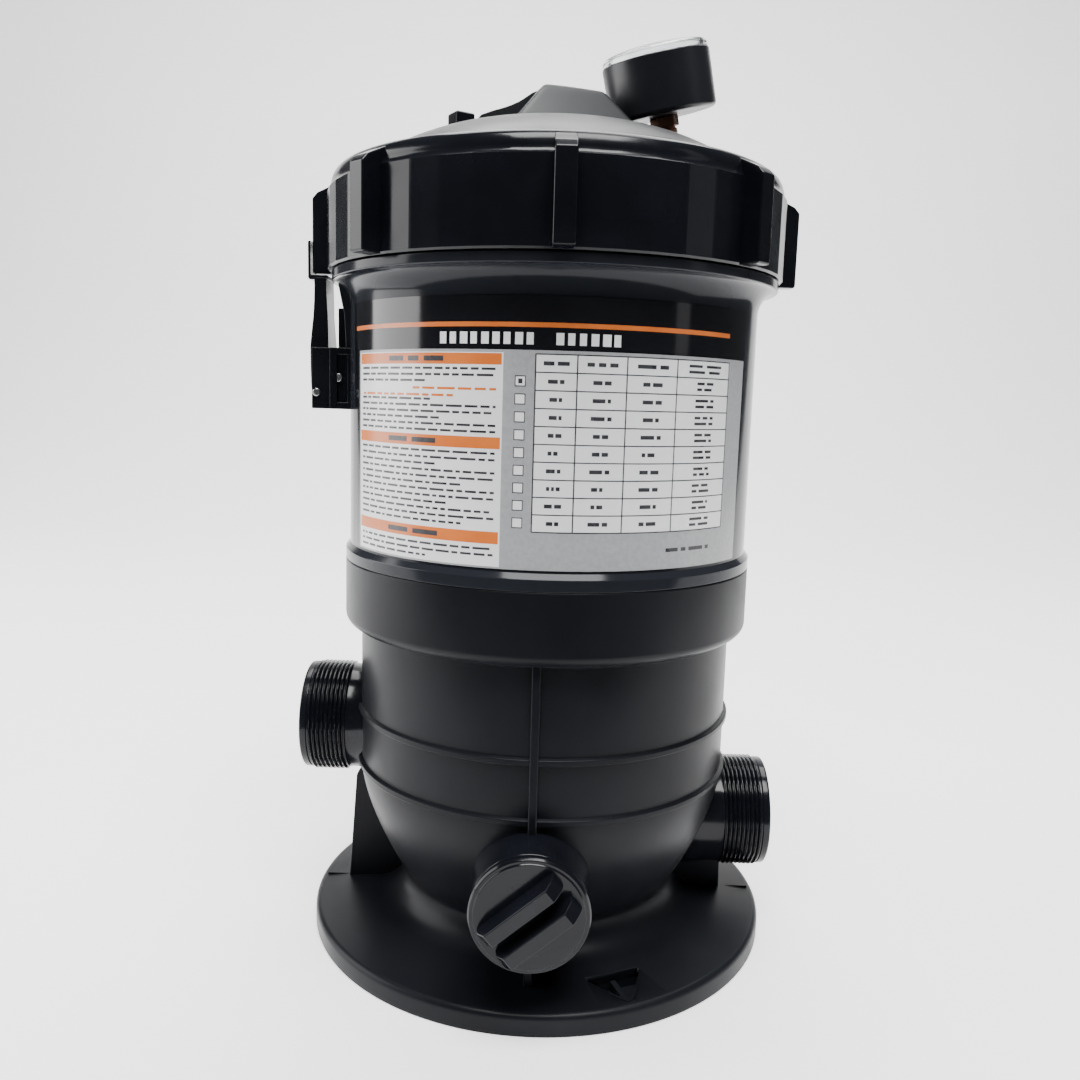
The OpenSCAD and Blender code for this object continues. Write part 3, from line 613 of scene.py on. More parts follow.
def make_lower_body():
    bowl = [(bowl_at(z), z) for z in [NECK_Z + (BOWL_Z - NECK_Z) * k / 22 for k in range(1, 23)]]
    cavity = [(bowl_at(z) - BODY_WALL, z) for z in [BOWL_Z - (BOWL_Z - 38) * k / 10 for k in range(11)]]
    outline = [(FOOT_R, 0, 0.7), (FOOT_R, 10.6, 3.2), (NECK_R + FILLET_R + 8, 12.6)]
    outline += arc(NECK_R + FILLET_R, NECK_Z, FILLET_R, 268, 180, 12)
    outline += bowl
    outline += bead(BEAD_ZS[0]) + bead(BEAD_ZS[1])
    outline += [(BOWL_R, BAND_LOW_Z - 1)]
    outline += arc(BOWL_R, BAND_Z, BAND_R - BOWL_R, -82, 0, 10, BAND_Z - BAND_LOW_Z)
    outline += [(BAND_R, SEAM_Z, 0.8), (SOCKET_R, SEAM_Z, 0.5), (SOCKET_R, SOCKET_Z),
                (BOWL_R - BODY_WALL, SOCKET_Z, 0.6), (BOWL_R - BODY_WALL, BOWL_Z + 1)]
    outline += cavity
    outline += [(66, FLOOR_Z), (0, FLOOR_Z), (0, 21), (68, 21), (88, 8.3)]
    outline += [(118.3, 7.4, 1.5), (118.3, 0, 0.6)]
    shell = build("lower_body_shell", [turned(rounded(outline), 240)])
    pocket = rounded([(-14, -98.5, 1), (16, -98, 1), (1.5, -117, 1), (-1.5, -117, 1)], 3)
    tools = []
    for turn in (0, math.pi):
        tools.append(moved(prism(pocket, POCKET_LOW, 30), anchor_matrix(turn)))
    holes = [(PORT_BORE_R, 104, AT_INLET), (PORT_BORE_R, 100, AT_OUTLET), (DRAIN_BORE_R, 130, AT_DRAIN)]
    for radius, end, place in holes:
        tools.append(moved(turned([(0, 60), (radius, 60), (radius, end), (0, end)], 96), place))
    cut(shell, tools)
    dress(shell, "housing", "satin_black", "lower_body", "foot")

    ports = [moved(port_shape(INLET_END, 91, 9), AT_INLET), moved(port_shape(OUTLET_END, 80, 14), AT_OUTLET)]
    piece("port_threads", ports, "housing", "gloss_black", "inlet_port", "outlet_port")

    boss = rounded([(DRAIN_BORE_R, 76), (DRAIN_BORE_R, BOSS_Y, 0.8), (BOSS_R, BOSS_Y, 1.2),
                    (BOSS_R, 98, 3), (BOSS_R + 0.8, 90), (BOSS_R + 2.0, 76)])
    lathe("drain_boss", boss, 128, AT_DRAIN, "housing", "gloss_black")

    webs = rib_shapes()
    webs += [moved(shape, HALF_TURN) for shape in rib_shapes()]
    webs += [fin(102, 103), moved(fin(102.5, 107), HALF_TURN)]
    piece("body_webs", webs, "housing", "satin_black", bevel=0.7)

    stiffeners = []
    outline = [(20, 0.4), (118.6, 0.4), (118.6, 7.8), (88, 9), (68.5, HUB_TOP), (20, HUB_TOP)]
    for i in range(STIFFENERS):
        rib = moved(prism(outline, -1.5, 1.5), STAND)
        stiffeners.append(moved(rib, turn_z(TAU * (i + 0.5) / STIFFENERS)))
    piece("foot_stiffeners", stiffeners, "housing", "satin_black", bevel=0.4, bevel_steps=2)
    hub = rounded([(17.5, 0.4, 0.5), (22, 0.4, 0.5), (22, HUB_TOP), (17.5, HUB_TOP)])
    piece("foot_hub", [turned(hub, 64)], "housing", "satin_black")

    outer = rounded([(-18, -96, 1.5), (21, -95, 1.5), (2, -119, 1.5), (-2, -119, 1.5)], 3)
    count = len(outer)
    hole = arc(0, -ANCHOR_R, ANCHOR_HOLE_R, 0, 360, count)[:count]
    # both outlines of the pocket's floor start on the same side and run the same way round
    start = min(range(count), key=lambda k: math.atan2(outer[k][1] + ANCHOR_R, outer[k][0]) % TAU)
    outer = list(reversed(outer[start:] + outer[:start]))
    wider = [(x * POCKET_WALL, POCKET_Y + (y - POCKET_Y) * POCKET_WALL) for x, y in pocket]
    walls = []
    for turn in (0, math.pi):
        walls.append(moved(collar(outer, hole, 0.2, 4), anchor_matrix(turn)))
        walls.append(moved(collar(pocket, wider, 3.6, 11.6), anchor_matrix(turn)))
    piece("anchor_pockets", walls, "housing", "satin_black")

    seam = prism([(104, -0.35), (119.4, -0.35), (119.4, 0.35), (104, 0.35)], 10.4, 11.9)
    piece("parting_lines", [seam, moved(seam, HALF_TURN)], "housing", "satin_black")


# ---- tank

FILLET_Z = 326.4
NECK_OUT_R = 108.4
NECK_CREST_R = 109.5
TANK_BORE_R = 99.4
SPIGOT_BORE_R = 96.4
SPIGOT_R = SOCKET_R - 0.3
RING_PITCH = 5.5
LATCH_Y = LATCH_PIN.y
SCREW_AT = (box_mm("bracket_screws")[0] + box_mm("bracket_screws")[1]) / 2


def make_tank():
    groove = SEAM_Z - 17
    outline = [(SPIGOT_R, SPIGOT_LOW), (SPIGOT_R, groove), (SPIGOT_R - 2.2, groove),
               (SPIGOT_R - 2.2, groove + 2.8), (SPIGOT_R, groove + 2.8), (SPIGOT_R, SEAM_Z + 0.05)]
    outline += [(BAND_R, SEAM_Z + 0.05, 0.5), (BAND_R, SEAM_Z + 5.4, 0.9), (TANK_R, SEAM_Z + 8)]
    outline += rows_between(TANK_R, SEAM_Z + 9, FILLET_Z - 1, 20)
    outline += arc(FLANGE_R - 0.8, FILLET_Z, FLANGE_R - 0.8 - TANK_R, 180, 98, 10, 12)
    outline += [(FLANGE_R, FLANGE_Z - 4.8, 0.8), (FLANGE_R, FLANGE_Z, 0.8), (NECK_OUT_R, FLANGE_Z, 0.3)]
    outline += rows_between(NECK_OUT_R, FLANGE_Z + 2, NECK_TOP - 2, 0.5)
    outline += [(NECK_OUT_R, NECK_TOP, 1), (TANK_BORE_R, NECK_TOP, 1), (TANK_BORE_R, SEAM_Z + 2),
                (SPIGOT_BORE_R, SEAM_Z + 2, 0.5), (SPIGOT_BORE_R, SPIGOT_LOW, 0.8)]
    ridge = thread(FLANGE_Z + 3, NECK_TOP - 3, RING_PITCH, NECK_CREST_R - NECK_OUT_R, NECK_OUT_R)
    piece("tank", [turned(rounded(outline), 240, ridge)], "housing", "tank_grey", "tank_shell")

    webs = []
    outline = rounded([(-100, 274.5), (-105.2, 275.2, 2), (-105.4, 304, 30), (-106.2, 322, 12),
                       (-109.6, 338.4), (-100, 338.4)])
    for side in (-1, 1):
        lift = Matrix.Translation((0, LATCH_Y + side * 13, 0)) @ STAND
        webs.append(moved(prism(outline, -1.5, 1.5), lift))
    piece("latch_webs", webs, "housing", "tank_grey", bevel=0.5)


# ---- label

FILM = 0.25
PRINT = 0.03


def patch(az0, az1, z0, z1, layer):
    """A thin curved sheet on the tank, between two angles and two heights."""
    inner = TANK_R + (FILM if layer else 0) + PRINT * max(0, layer - 1)
    outer = TANK_R + FILM + PRINT * layer
    steps = max(1, math.ceil((az1 - az0) / 2))
    vertices = []
    for k in range(steps + 1):
        az = az0 + (az1 - az0) * k / steps
        vertices += [polar(inner, az, z0), polar(outer, az, z0), polar(outer, az, z1), polar(inner, az, z1)]
    faces = [(0, 1, 2, 3)]
    for k in range(steps):
        b = 4 * k
        for i in range(4):
            j = (i + 1) % 4
            faces.append((b + i, b + j, b + 4 + j, b + 4 + i))
    faces.append((4 * steps + 3, 4 * steps + 2, 4 * steps + 1, 4 * steps))
    return vertices, faces


def words(draw, az0, az1, z, height, layer, mean):
    """Word-long bars along one line, with small gaps between them."""
    shapes = []
    az = az0
    while az < az1 - 0.6:
        length = min(mean * draw.uniform(0.45, 1.7), az1 - az)
        shapes.append(patch(az, az + length, z - height / 2, z + height / 2, layer))
        az += length + mean * 0.28
    return shapes


def make_label():
    draw = random.Random(7)
    top = label_high.z
    low = label_low.z
    panel_top = 303.4
    column_az = [-3.8, 5.9, 17.9, 31.6, 50.9]
    table_low, table_high, table_rows = 226, 301.8, 10
    row_h = (table_high - table_low) / table_rows
    box_az = (-60.2, -11.4)
    headers = [(297, 301.8), (261.2, 266.2), (219.9, 225.2)]

    film = [patch(LABEL_FROM_AZ, LABEL_TO_AZ, low, top, 0)]
    piece("label_film", film, "housing", "label_black", "label")
    grey = [patch(-61.2, LABEL_TO_AZ - 0.4, low + 0.3, panel_top, 1)]
    piece("label_panel", grey, "housing", "label_grey")

    white = [patch(*box_az, 209.9, 302.2, 2), patch(column_az[0], column_az[-1], table_low, table_high, 2)]
    tick_az, tick_w, tick_half = -8.6, 2.6, 2.3
    for row in range(1, table_rows):
        z = table_high - row_h * (row + 0.5)
        white.append(patch(tick_az, tick_az + tick_w, z - tick_half, z + tick_half, 2))
    for start, bars in ((-27.8, 9), (0.8, 6)):
        for k in range(bars):
            az = start + k * 2.72
            width = 2.1 * draw.uniform(0.75, 1.0)
            white.append(patch(az, az + width, 305.7, 310.7, 1))
    piece("label_boxes", white, "housing", "label_white")

    orange = [patch(LABEL_FROM_AZ + 2, 50.6, 312.9, 314.9, 1)]
    for z0, z1 in headers:
        orange.append(patch(box_az[0] + 0.4, box_az[1] - 0.4, z0, z1, 3))
    orange += words(draw, -36, -13, 286.6, 1.0, 3, 3)
    orange += words(draw, -58, -24, 283.6, 1.0, 3, 3)
    piece("label_orange_bars", orange, "housing", "label_orange")

    ink = []
    line_az = 0.16
    for az in column_az:
        ink.append(patch(az - line_az, az + line_az, table_low, table_high, 3))
    for row in range(table_rows + 1):
        z = table_low + row_h * row
        ink.append(patch(column_az[0], column_az[-1], z - 0.25, z + 0.25, 3))
    for row in range(table_rows):
        z = table_high - row_h * (row + 0.5)
        for left, right in zip(column_az, column_az[1:]):
            width = (right - left) * (0.62 if row == 0 else draw.uniform(0.3, 0.42))
            middle = (left + right) / 2
            lines = (1.3, -1.3) if right == column_az[-1] else (0,)
            height = 1.7 if len(lines) == 1 else 1.2
            mean = max(1.4, width * 0.45)
            for shift in lines:
                ink += words(draw, middle - width / 2, middle + width / 2, z + shift, height, 3, mean)
    for row in range(1, table_rows):
        z = table_high - row_h * (row + 0.5)
        edge = 0.22
        for z0 in (z - tick_half, z + tick_half - 0.4):
            ink.append(patch(tick_az, tick_az + tick_w, z0, z0 + 0.4, 3))
        for az in (tick_az, tick_az + tick_w - edge):
            ink.append(patch(az, az + edge, z - tick_half, z + tick_half, 3))
    first = table_high - row_h * 1.5
    ink.append(patch(tick_az + 0.8, tick_az + 1.8, first - 1, first + 1, 3))
    for z_top, z_low, lines in ((295.2, 268.4, 11), (259.2, 228.0, 12), (217.6, 212.2, 3)):
        for k in range(lines):
            z = z_top - (z_top - z_low) * k / (lines - 1)
            if 282 < z < 288 and k in (3, 4):
                continue
            end = box_az[1] - 1.6 - (draw.uniform(4, 22) if k % 3 == 2 else 0)
            ink += words(draw, box_az[0] + 1.6, end, z, 1.0, 3, 2.6)
    for z0, z1 in headers:
        middle = (box_az[0] + box_az[1]) / 2
        ink += words(draw, middle - 9, middle + 9, (z0 + z1) / 2, 2.2, 4, 6)
    ink += words(draw, 30.5, 45.5, 217.6, 1.7, 2, 3.6)
    piece("label_ink_bars", ink, "housing", "label_ink")


# ---- lock ring

RING_R = 115.5
FACETS = 48
RIBS = 8
RIB_TURN = 1.5
RIB_W = 9.3
RIB_TOP = 384
SHOULDER_Z = 381.5
SHOULDER_R = 108.8
LIP_R = 105
LIP_Z = 380.8
RING_BORE_R = 110


def make_lock_ring():
    step = 360 / FACETS
    corner = 0.28
    offsets = [-step / 2 + corner, -1.2, 1.2, step / 2 - corner]
    start = RIB_TURN - 90
    angles = [math.radians(start + step * i + offset) for i in range(FACETS) for offset in offsets]

    def place(r, z, a):
        if abs(r - RING_R) > 1.3 or z > SHOULDER_Z + 0.01:
            return r, z
        local = (math.degrees(a) - start + step / 2) % step - step / 2
        return r / math.cos(math.radians(local)), z

    outline = [(RING_BORE_R, RING_LOW), (RING_R - 1, RING_LOW), (RING_R, RING_LOW + 0.9)]
    outline += [(RING_R, RING_LOW + 12), (RING_R, RING_LOW + 25), (RING_R, SHOULDER_Z - 0.8)]
    outline += [(RING_R - 0.7, SHOULDER_Z)]
    crown_z = SHOULDER_Z + 1.2
    outline += arc(SHOULDER_R, crown_z, RING_R - 1.3 - SHOULDER_R, 0, 80, 8, RING_TOP - crown_z)
    outline += [(SHOULDER_R - 0.6, RING_TOP), (LIP_R, RING_TOP, 0.8), (LIP_R, LIP_Z, 0.6),
                (RING_BORE_R, LIP_Z)]
    low, high = RING_LOW + 2, LIP_Z - 2
    root = RING_BORE_R + 1.3
    outline += list(reversed(rows_between(root, low, high, 0.6)))
    ridge = thread(low, high, RING_PITCH, -1.2, root)

    def threaded(r, z, a):
        return ridge(r, z, a) if r < RING_R - 2 else place(r, z, a)

    def is_facet(face):
        centre = face.calc_center_median() / MM
        radius = math.hypot(centre.x, centre.y)
        return radius > RING_R - 0.35 and RING_LOW + 0.9 < centre.z < SHOULDER_Z - 0.9

    skirt = [turned(rounded(outline), angles, threaded)]
    piece("lock_ring_skirt", skirt, "lock_ring", "gloss_black", "lock_ring", flat=is_facet, sharp=30)

    ribs = []
    profile = rounded([(106, RING_LOW + 0.2), (RIB_R, RING_LOW + 0.2, 1.2), (RIB_R, RIB_TOP - 3, 1.5),
                       (RIB_R - 2.6, RIB_TOP, 1.5), (SHOULDER_R + 1, RING_TOP - 0.9, 2),
                       (106, RING_TOP - 0.9)])
    rib = moved(prism(profile, -RIB_W / 2, RIB_W / 2), STAND)
    for i in range(RIBS):
        ribs.append(moved(rib, turn_z(math.radians(RIB_TURN - 90 + i * 360 / RIBS))))
    piece("lock_ring_ribs", ribs, "lock_ring", "gloss_black", bevel=0.8)


# ---- lid

DOME_R = 103.5
DOME_Z = 389
DOME_RISE = 27
LID_WALL = 5.2
LID_SPIGOT_R = 98.9
SADDLE_TOP = 436.5
# top of the wing, as (x, height) pairs in the lid's own axes
WING = [(-43.4, 419.4), (-42.6, 420.2), (-36, 423), (-32, 424.4), (-28, 426.1), (-24, 428.2), (-22, 429.5),
        (-20, 431), (-17, 433.2), (-14, 434.6), (-11, 435.1)]
ON_LID = turn_z(LID_TURN)


def soft_min(values, blend):
    """Smallest of the values, with a rounded step between them."""
    least = min(values)
    return least - blend * math.log(sum(math.exp((least - v) / blend) for v in values))


def soft_max(values, blend):
    return -soft_min([-v for v in values], blend)


def dome_at(r, wall=0):
    return DOME_Z + DOME_RISE * (1 - (r / DOME_R) ** 3) - wall


def lid_height(x, y):
    """Height of the lid's top at a place in the lid's own axes, whose X runs along the bridge."""
    dome = dome_at(math.hypot(x, y))
    saddle = soft_min([
        SADDLE_TOP - 0.0014 * x * x - 0.002 * y * y,
        SADDLE_TOP - 1.18 * (-x - 12.6),
        SADDLE_TOP - 1.06 * (x - 17.2),
        SADDLE_TOP - 2.3 * (abs(y) - 15.5),
    ], 0.75)
    return soft_max([dome, saddle], 0.6)


def make_lid():
    steps = 288
    angles = [TAU * i / steps for i in range(steps)]
    # close rings over the saddle and wider ones outside it; place() gives them their height
    radii = [0] + [0.8 + 0.8 * k for k in range(72)] + [61 + 3.2 * k for k in range(14)]
    outline = [(r, 0) for r in radii if r < DOME_R - 0.8]

    def place(r, z, a):
        if z:
            return r, z
        x = r * math.cos(a - LID_TURN)
        y = r * math.sin(a - LID_TURN)
        return r, lid_height(x, y)

    flange_r = NECK_OUT_R + 0.9
    flange_low = NECK_TOP + 0.2
    flange_top = LIP_Z - 0.3
    groove = NECK_TOP - 8.4
    rim = [(DOME_R - 0.6, dome_at(DOME_R - 0.6)), (DOME_R, dome_at(DOME_R - 0.6) - 0.7),
           (DOME_R, flange_top, 0.4),
           (flange_r, flange_top, 0.6), (flange_r, flange_low, 0.4), (LID_SPIGOT_R, flange_low),
           (LID_SPIGOT_R, groove + 3.8), (LID_SPIGOT_R - 3, groove + 3.8), (LID_SPIGOT_R - 3, groove),
           (LID_SPIGOT_R, groove), (LID_SPIGOT_R, NECK_TOP - 14, 1.2),
           (LID_SPIGOT_R - LID_WALL, NECK_TOP - 14, 1), (LID_SPIGOT_R - LID_WALL, DOME_Z - 4)]
    outline += rounded(rim)
    outline += [(r, dome_at(r, LID_WALL)) for r in [LID_SPIGOT_R - LID_WALL - 8 * k for k in range(12)]]
    outline += [(0, dome_at(0, LID_WALL))]
    piece("lid_dome", [turned(outline, angles, place)], "lid", "lid_grey", "lid_shell", sharp=50)

    wing = [(-8, 407), (-43.4, 407)] + WING + [(-8, 433)]
    piece("lid_wing", [moved(prism(wing, -8, 8), ON_LID @ STAND)], "lid", "lid_grey", bevel=0.5)

    foot_z = dome_at(51) - 4
    seat_z = VALVE_TOP
    valve_boss = rounded([(0, foot_z), (9, foot_z), (8.2, foot_z + 2.5, 2), (7.3, seat_z, 0.6),
                          (4.1, seat_z), (4.1, seat_z - 6), (0, seat_z - 6)])
    at_valve = Matrix.Translation((VALVE_AT.x, VALVE_AT.y, 0))
    lathe("valve_boss", valve_boss, 64, at_valve, "lid", "lid_grey")
    gauge_boss = rounded([(0, -40), (15, -40), (13.4, -30, 4), (11.6, -20.2, 1), (6.8, -20.2),
                          (6.8, -26), (0, -26)])
    lathe("gauge_boss", gauge_boss, 64, AT_GAUGE, "lid", "lid_grey")


# ---- relief valve

VALVE_TOP = box_mm("relief_washer")[0].z
KNOB_W = 10
KNOB_TURN = math.radians(14)


def make_relief_valve():
    at_valve = Matrix.Translation((VALVE_AT.x, VALVE_AT.y, 0)) @ ON_LID
    washer = rounded([(4.4, VALVE_TOP, 0.4), (6.6, VALVE_TOP, 0.5), (6.6, VALVE_TOP + 1.4, 0.6),
                      (4.4, VALVE_TOP + 1.4, 0.4)])
    lathe("relief_washer_disc", washer, 64, at_valve, "lid", "seal_rubber", "relief_washer")
    half = KNOB_W / 2
    low = VALVE_TOP + 1.6
    knob = []
    for z, size in ((low, half - 0.4), (low + 0.5, half), (low + 5.9, half), (low + 6.5, half - 0.5)):
        square = rounded([(size * a, size * b, 0.5) for a, b in ((1, 1), (-1, 1), (-1, -1), (1, -1))], 3)
        knob.append([(x, y, z) for x, y in square])
    shapes = [moved(loft(knob), at_valve @ turn_z(KNOB_TURN))]
    stem = rounded([(0, VALVE_TOP - 16), (3.4, VALVE_TOP - 16), (4, VALVE_TOP - 15.2), (4, low + 0.3),
                    (0, low + 0.3)])
    shapes.append(moved(turned(stem, 48), at_valve))
    piece("relief_knob_cap", shapes, "relief_valve", "gloss_black", "relief_knob", sharp=34)


# ---- gauge

GAUGE_R = 27.8
GAUGE_LOW = -4.9
GAUGE_TOP = 23.3
GAUGE_LEAN = math.radians(10)
GAUGE_TILT = math.radians(-13)
AT_GAUGE = (Matrix.Translation(GAUGE_AT) @ Matrix.Rotation(GAUGE_TILT, 4, "Y")
            @ Matrix.Rotation(GAUGE_LEAN, 4, "X"))
DIAL_Z = GAUGE_TOP - 5.8
SCALE_TURN = 270
ZERO_TURN = 135
SCALE_STEPS = 40
SCALE_R = 22.4
BAND_STEPS = 90
HEX_R = 7.7
HEX_LOW = -10.4
STEM_R = 6
STEM_LOW = -38
STEM_TOP = -11.6
STEM_PITCH = 1.34


def dial_patch(r0, r1, turn, half, z=DIAL_Z):
    """A small printed tick on the dial, at an angle counted from the top of the dial."""
    shape = prism([(-half, r0), (half, r0), (half, r1), (-half, r1)], z, z + 0.08)
    return moved(moved(shape, turn_z(math.radians(turn))), AT_GAUGE)


def make_gauge():
    low, top = GAUGE_LOW, GAUGE_TOP
    case = rounded([(0, low), (GAUGE_R, low, 2.4), (GAUGE_R, top, 0.8), (GAUGE_R - 2.2, top, 0.4),
                    (GAUGE_R - 2.2, low + 2.4), (0, low + 2.4)])
    lathe("gauge_cup", case, 128, AT_GAUGE, "lid", "gauge_black", "gauge_case")

    disc = rounded([(0, DIAL_Z - 1), (GAUGE_R - 2.4, DIAL_Z - 1), (GAUGE_R - 2.4, DIAL_Z, 0.3),
                    (0, DIAL_Z)])
    lathe("gauge_face", disc, 96, AT_GAUGE, "lid", "dial_white", "gauge_dial")
    ticks = []
    for k in range(SCALE_STEPS + 1):
        turn = ZERO_TURN - SCALE_TURN * k / SCALE_STEPS
        major = k % 10 == 0
        start = 18.4 if major else 19.6 if k % 5 == 0 else 20.6
        ticks.append(dial_patch(start, SCALE_R, turn, 0.35 if major else 0.16))
    for k in range(BAND_STEPS):
        turn = ZERO_TURN - SCALE_TURN * (k + 0.5) / BAND_STEPS
        ticks.append(dial_patch(SCALE_R, SCALE_R + 0.5, turn, 0.62))
    piece("gauge_ticks", ticks, "lid", "pointer_black")
    for k in range(5):
        turn = math.radians(ZERO_TURN - SCALE_TURN * k / 4)
        number = dial_number(str(k), -15 * math.sin(turn), 15 * math.cos(turn), 5.2)
        dress(number, "lid", "pointer_black")

    cap = GAUGE_R - 0.6
    glass = rounded([(0, top + 3.8), (15, top + 3.6), (23.4, top + 2.9, 0.6), (23.9, top + 2.2),
                     (23.9, top - 1.7), (25.4, top - 1.7), (25.4, top + 0.05), (cap, top + 0.05, 0.2),
                     (cap, top + 2.3, 0.8), (26.4, top + 3.7, 1.0), (24.5, top + 4.4, 1.5),
                     (15, top + 5, 30), (0, top + 5.2)])
    lathe("gauge_glass", glass, 96, AT_GAUGE, "lid", "clear_lens", "gauge_lens")

    needle = [(-1.7, -7), (1.7, -7), (0.9, 10), (0.0, 19.3), (-0.9, 10)]
    at_needle = AT_GAUGE @ turn_z(math.radians(ZERO_TURN))
    z = DIAL_Z
    shapes = [moved(prism(needle, z + 0.65, z + 1.25), at_needle)]
    hub = rounded([(0, z - 3), (1.1, z - 3), (1.1, z + 0.45), (2.5, z + 0.45, 0.2), (2.5, z + 2.1, 0.7),
                   (0, z + 2.1)])
    shapes.append(moved(turned(hub, 32), AT_GAUGE))
    piece("gauge_needle", shapes, "gauge_needle", "pointer_black", "gauge_pointer")

    flats = arc(0, 0, HEX_R, 0, 300, 5)
    hexagon = moved(prism(flats, HEX_LOW, GAUGE_LOW), AT_GAUGE)
    piece("stem_hexagon", [hexagon], "lid", "brass", bevel=0.6)
    stem = [(0, STEM_LOW - 1.4), (STEM_R - 0.8, STEM_LOW - 1.4), (STEM_R, STEM_LOW - 0.6)]
    stem += rows_between(STEM_R, STEM_LOW, STEM_TOP, 0.15)
    stem += [(STEM_R - 0.6, STEM_TOP + 0.6), (STEM_R - 0.6, HEX_LOW + 0.4), (0, HEX_LOW + 0.4)]
    shape = turned(stem, 72, thread(STEM_LOW, STEM_TOP, STEM_PITCH, 0.55, STEM_R))
    piece("stem_thread", [moved(shape, AT_GAUGE)], "lid", "brass", "gauge_stem")
    washer = rounded([(6.8, -20, 0.3), (9.5, -20, 0.3), (9.5, -18.4, 0.3), (6.8, -18.4, 0.3)])
    lathe("stem_washer_disc", washer, 64, AT_GAUGE, "lid", "white_plastic", "stem_washer")


def dial_number(text, x, y, size):
    """A number of the dial, as a thin solid."""
    curve = bpy.data.curves.new("dial_number_" + text, "FONT")
    curve.body = text
    curve.size = size * MM
    curve.extrude = 0.04 * MM
    curve.align_x = "CENTER"
    curve.align_y = "CENTER"
    temporary = bpy.data.objects.new("number", curve)
    bpy.context.scene.collection.objects.link(temporary)
    bpy.context.view_layer.update()
    depsgraph = bpy.context.evaluated_depsgraph_get()
    mesh = bpy.data.meshes.new_from_object(temporary.evaluated_get(depsgraph))
    bpy.data.objects.remove(temporary)
    scaled = AT_GAUGE.copy()
    scaled.translation = AT_GAUGE.translation * MM
    mesh.transform(scaled @ Matrix.Translation((x * MM, y * MM, (DIAL_Z + 0.05) * MM)))
    obj = bpy.data.objects.new("dial_number_" + text, mesh)
    bpy.context.scene.collection.objects.link(obj)
    return obj


# ---- drain plug

PLUG_R = 27.3
PLUG_FACE = BOSS_Y + 0.5
FLANGE_T = 4.8
BAR_L = 38
BAR_W = 7.4
BAR_H = 10.6
BAR_TURN = math.radians(40)
BAR_Y = 6.6


def make_drain_plug():
    face = PLUG_FACE
    top = face + FLANGE_T
    spigot_r = DRAIN_BORE_R - 1.6
    spigot_low = face - 22
    outline = [(0, top), (PLUG_R - 2.6, top, 0.4), (PLUG_R - 2.2, top - 0.6, 0.3),
               (PLUG_R - 0.8, top - 0.6, 0.6), (PLUG_R, top - 1.8, 0.6), (PLUG_R, face, 0.5),
               (24, face), (24, face + 1.2), (20.6, face + 1.2), (20.6, face), (spigot_r, face)]
    outline += list(reversed(rows_between(spigot_r, spigot_low + 1, face - 2, THREAD_PITCH / 10)))
    outline += [(spigot_r, spigot_low, 0.6), (13.6, spigot_low, 0.6), (13.6, face - 1), (0, face - 1)]
    ridge = thread(spigot_low + 1, face - 2, THREAD_PITCH, 1.2, spigot_r)
    body = turned(rounded(outline), 144, ridge)
    piece("drain_plug_cap", [moved(body, AT_DRAIN)], "drain_plug", "gloss_black", "drain_plug")

    bars = []
    for side in (-1, 1):
        sections = []
        for z, length, width in ((top - 0.6, BAR_L + 5, BAR_W + 0.4), (top + 4.6, BAR_L + 3.6, BAR_W),
                                 (top + BAR_H - 0.3, BAR_L - 4, BAR_W - 0.8)):
            half = length / 2
            near = side * BAR_Y - width / 2
            far = side * BAR_Y + width / 2
            sections.append([(-half, near, z), (half, near, z), (half, far, z), (-half, far, z)])
        bars.append(moved(loft(sections), AT_DRAIN @ turn_z(BAR_TURN)))
    piece("drain_plug_bars", bars, "drain_plug", "gloss_black", bevel=0.55)


# ---- latch


def block(x0, x1, y0, y1, z0, z1):
    return prism([(x0, y0), (x1, y0), (x1, y1), (x0, y1)], z0, z1)


def around(middle, side, near, far):
    """Two bounds at one side of a middle, in rising order."""
    return sorted((middle + side * near, middle + side * far))


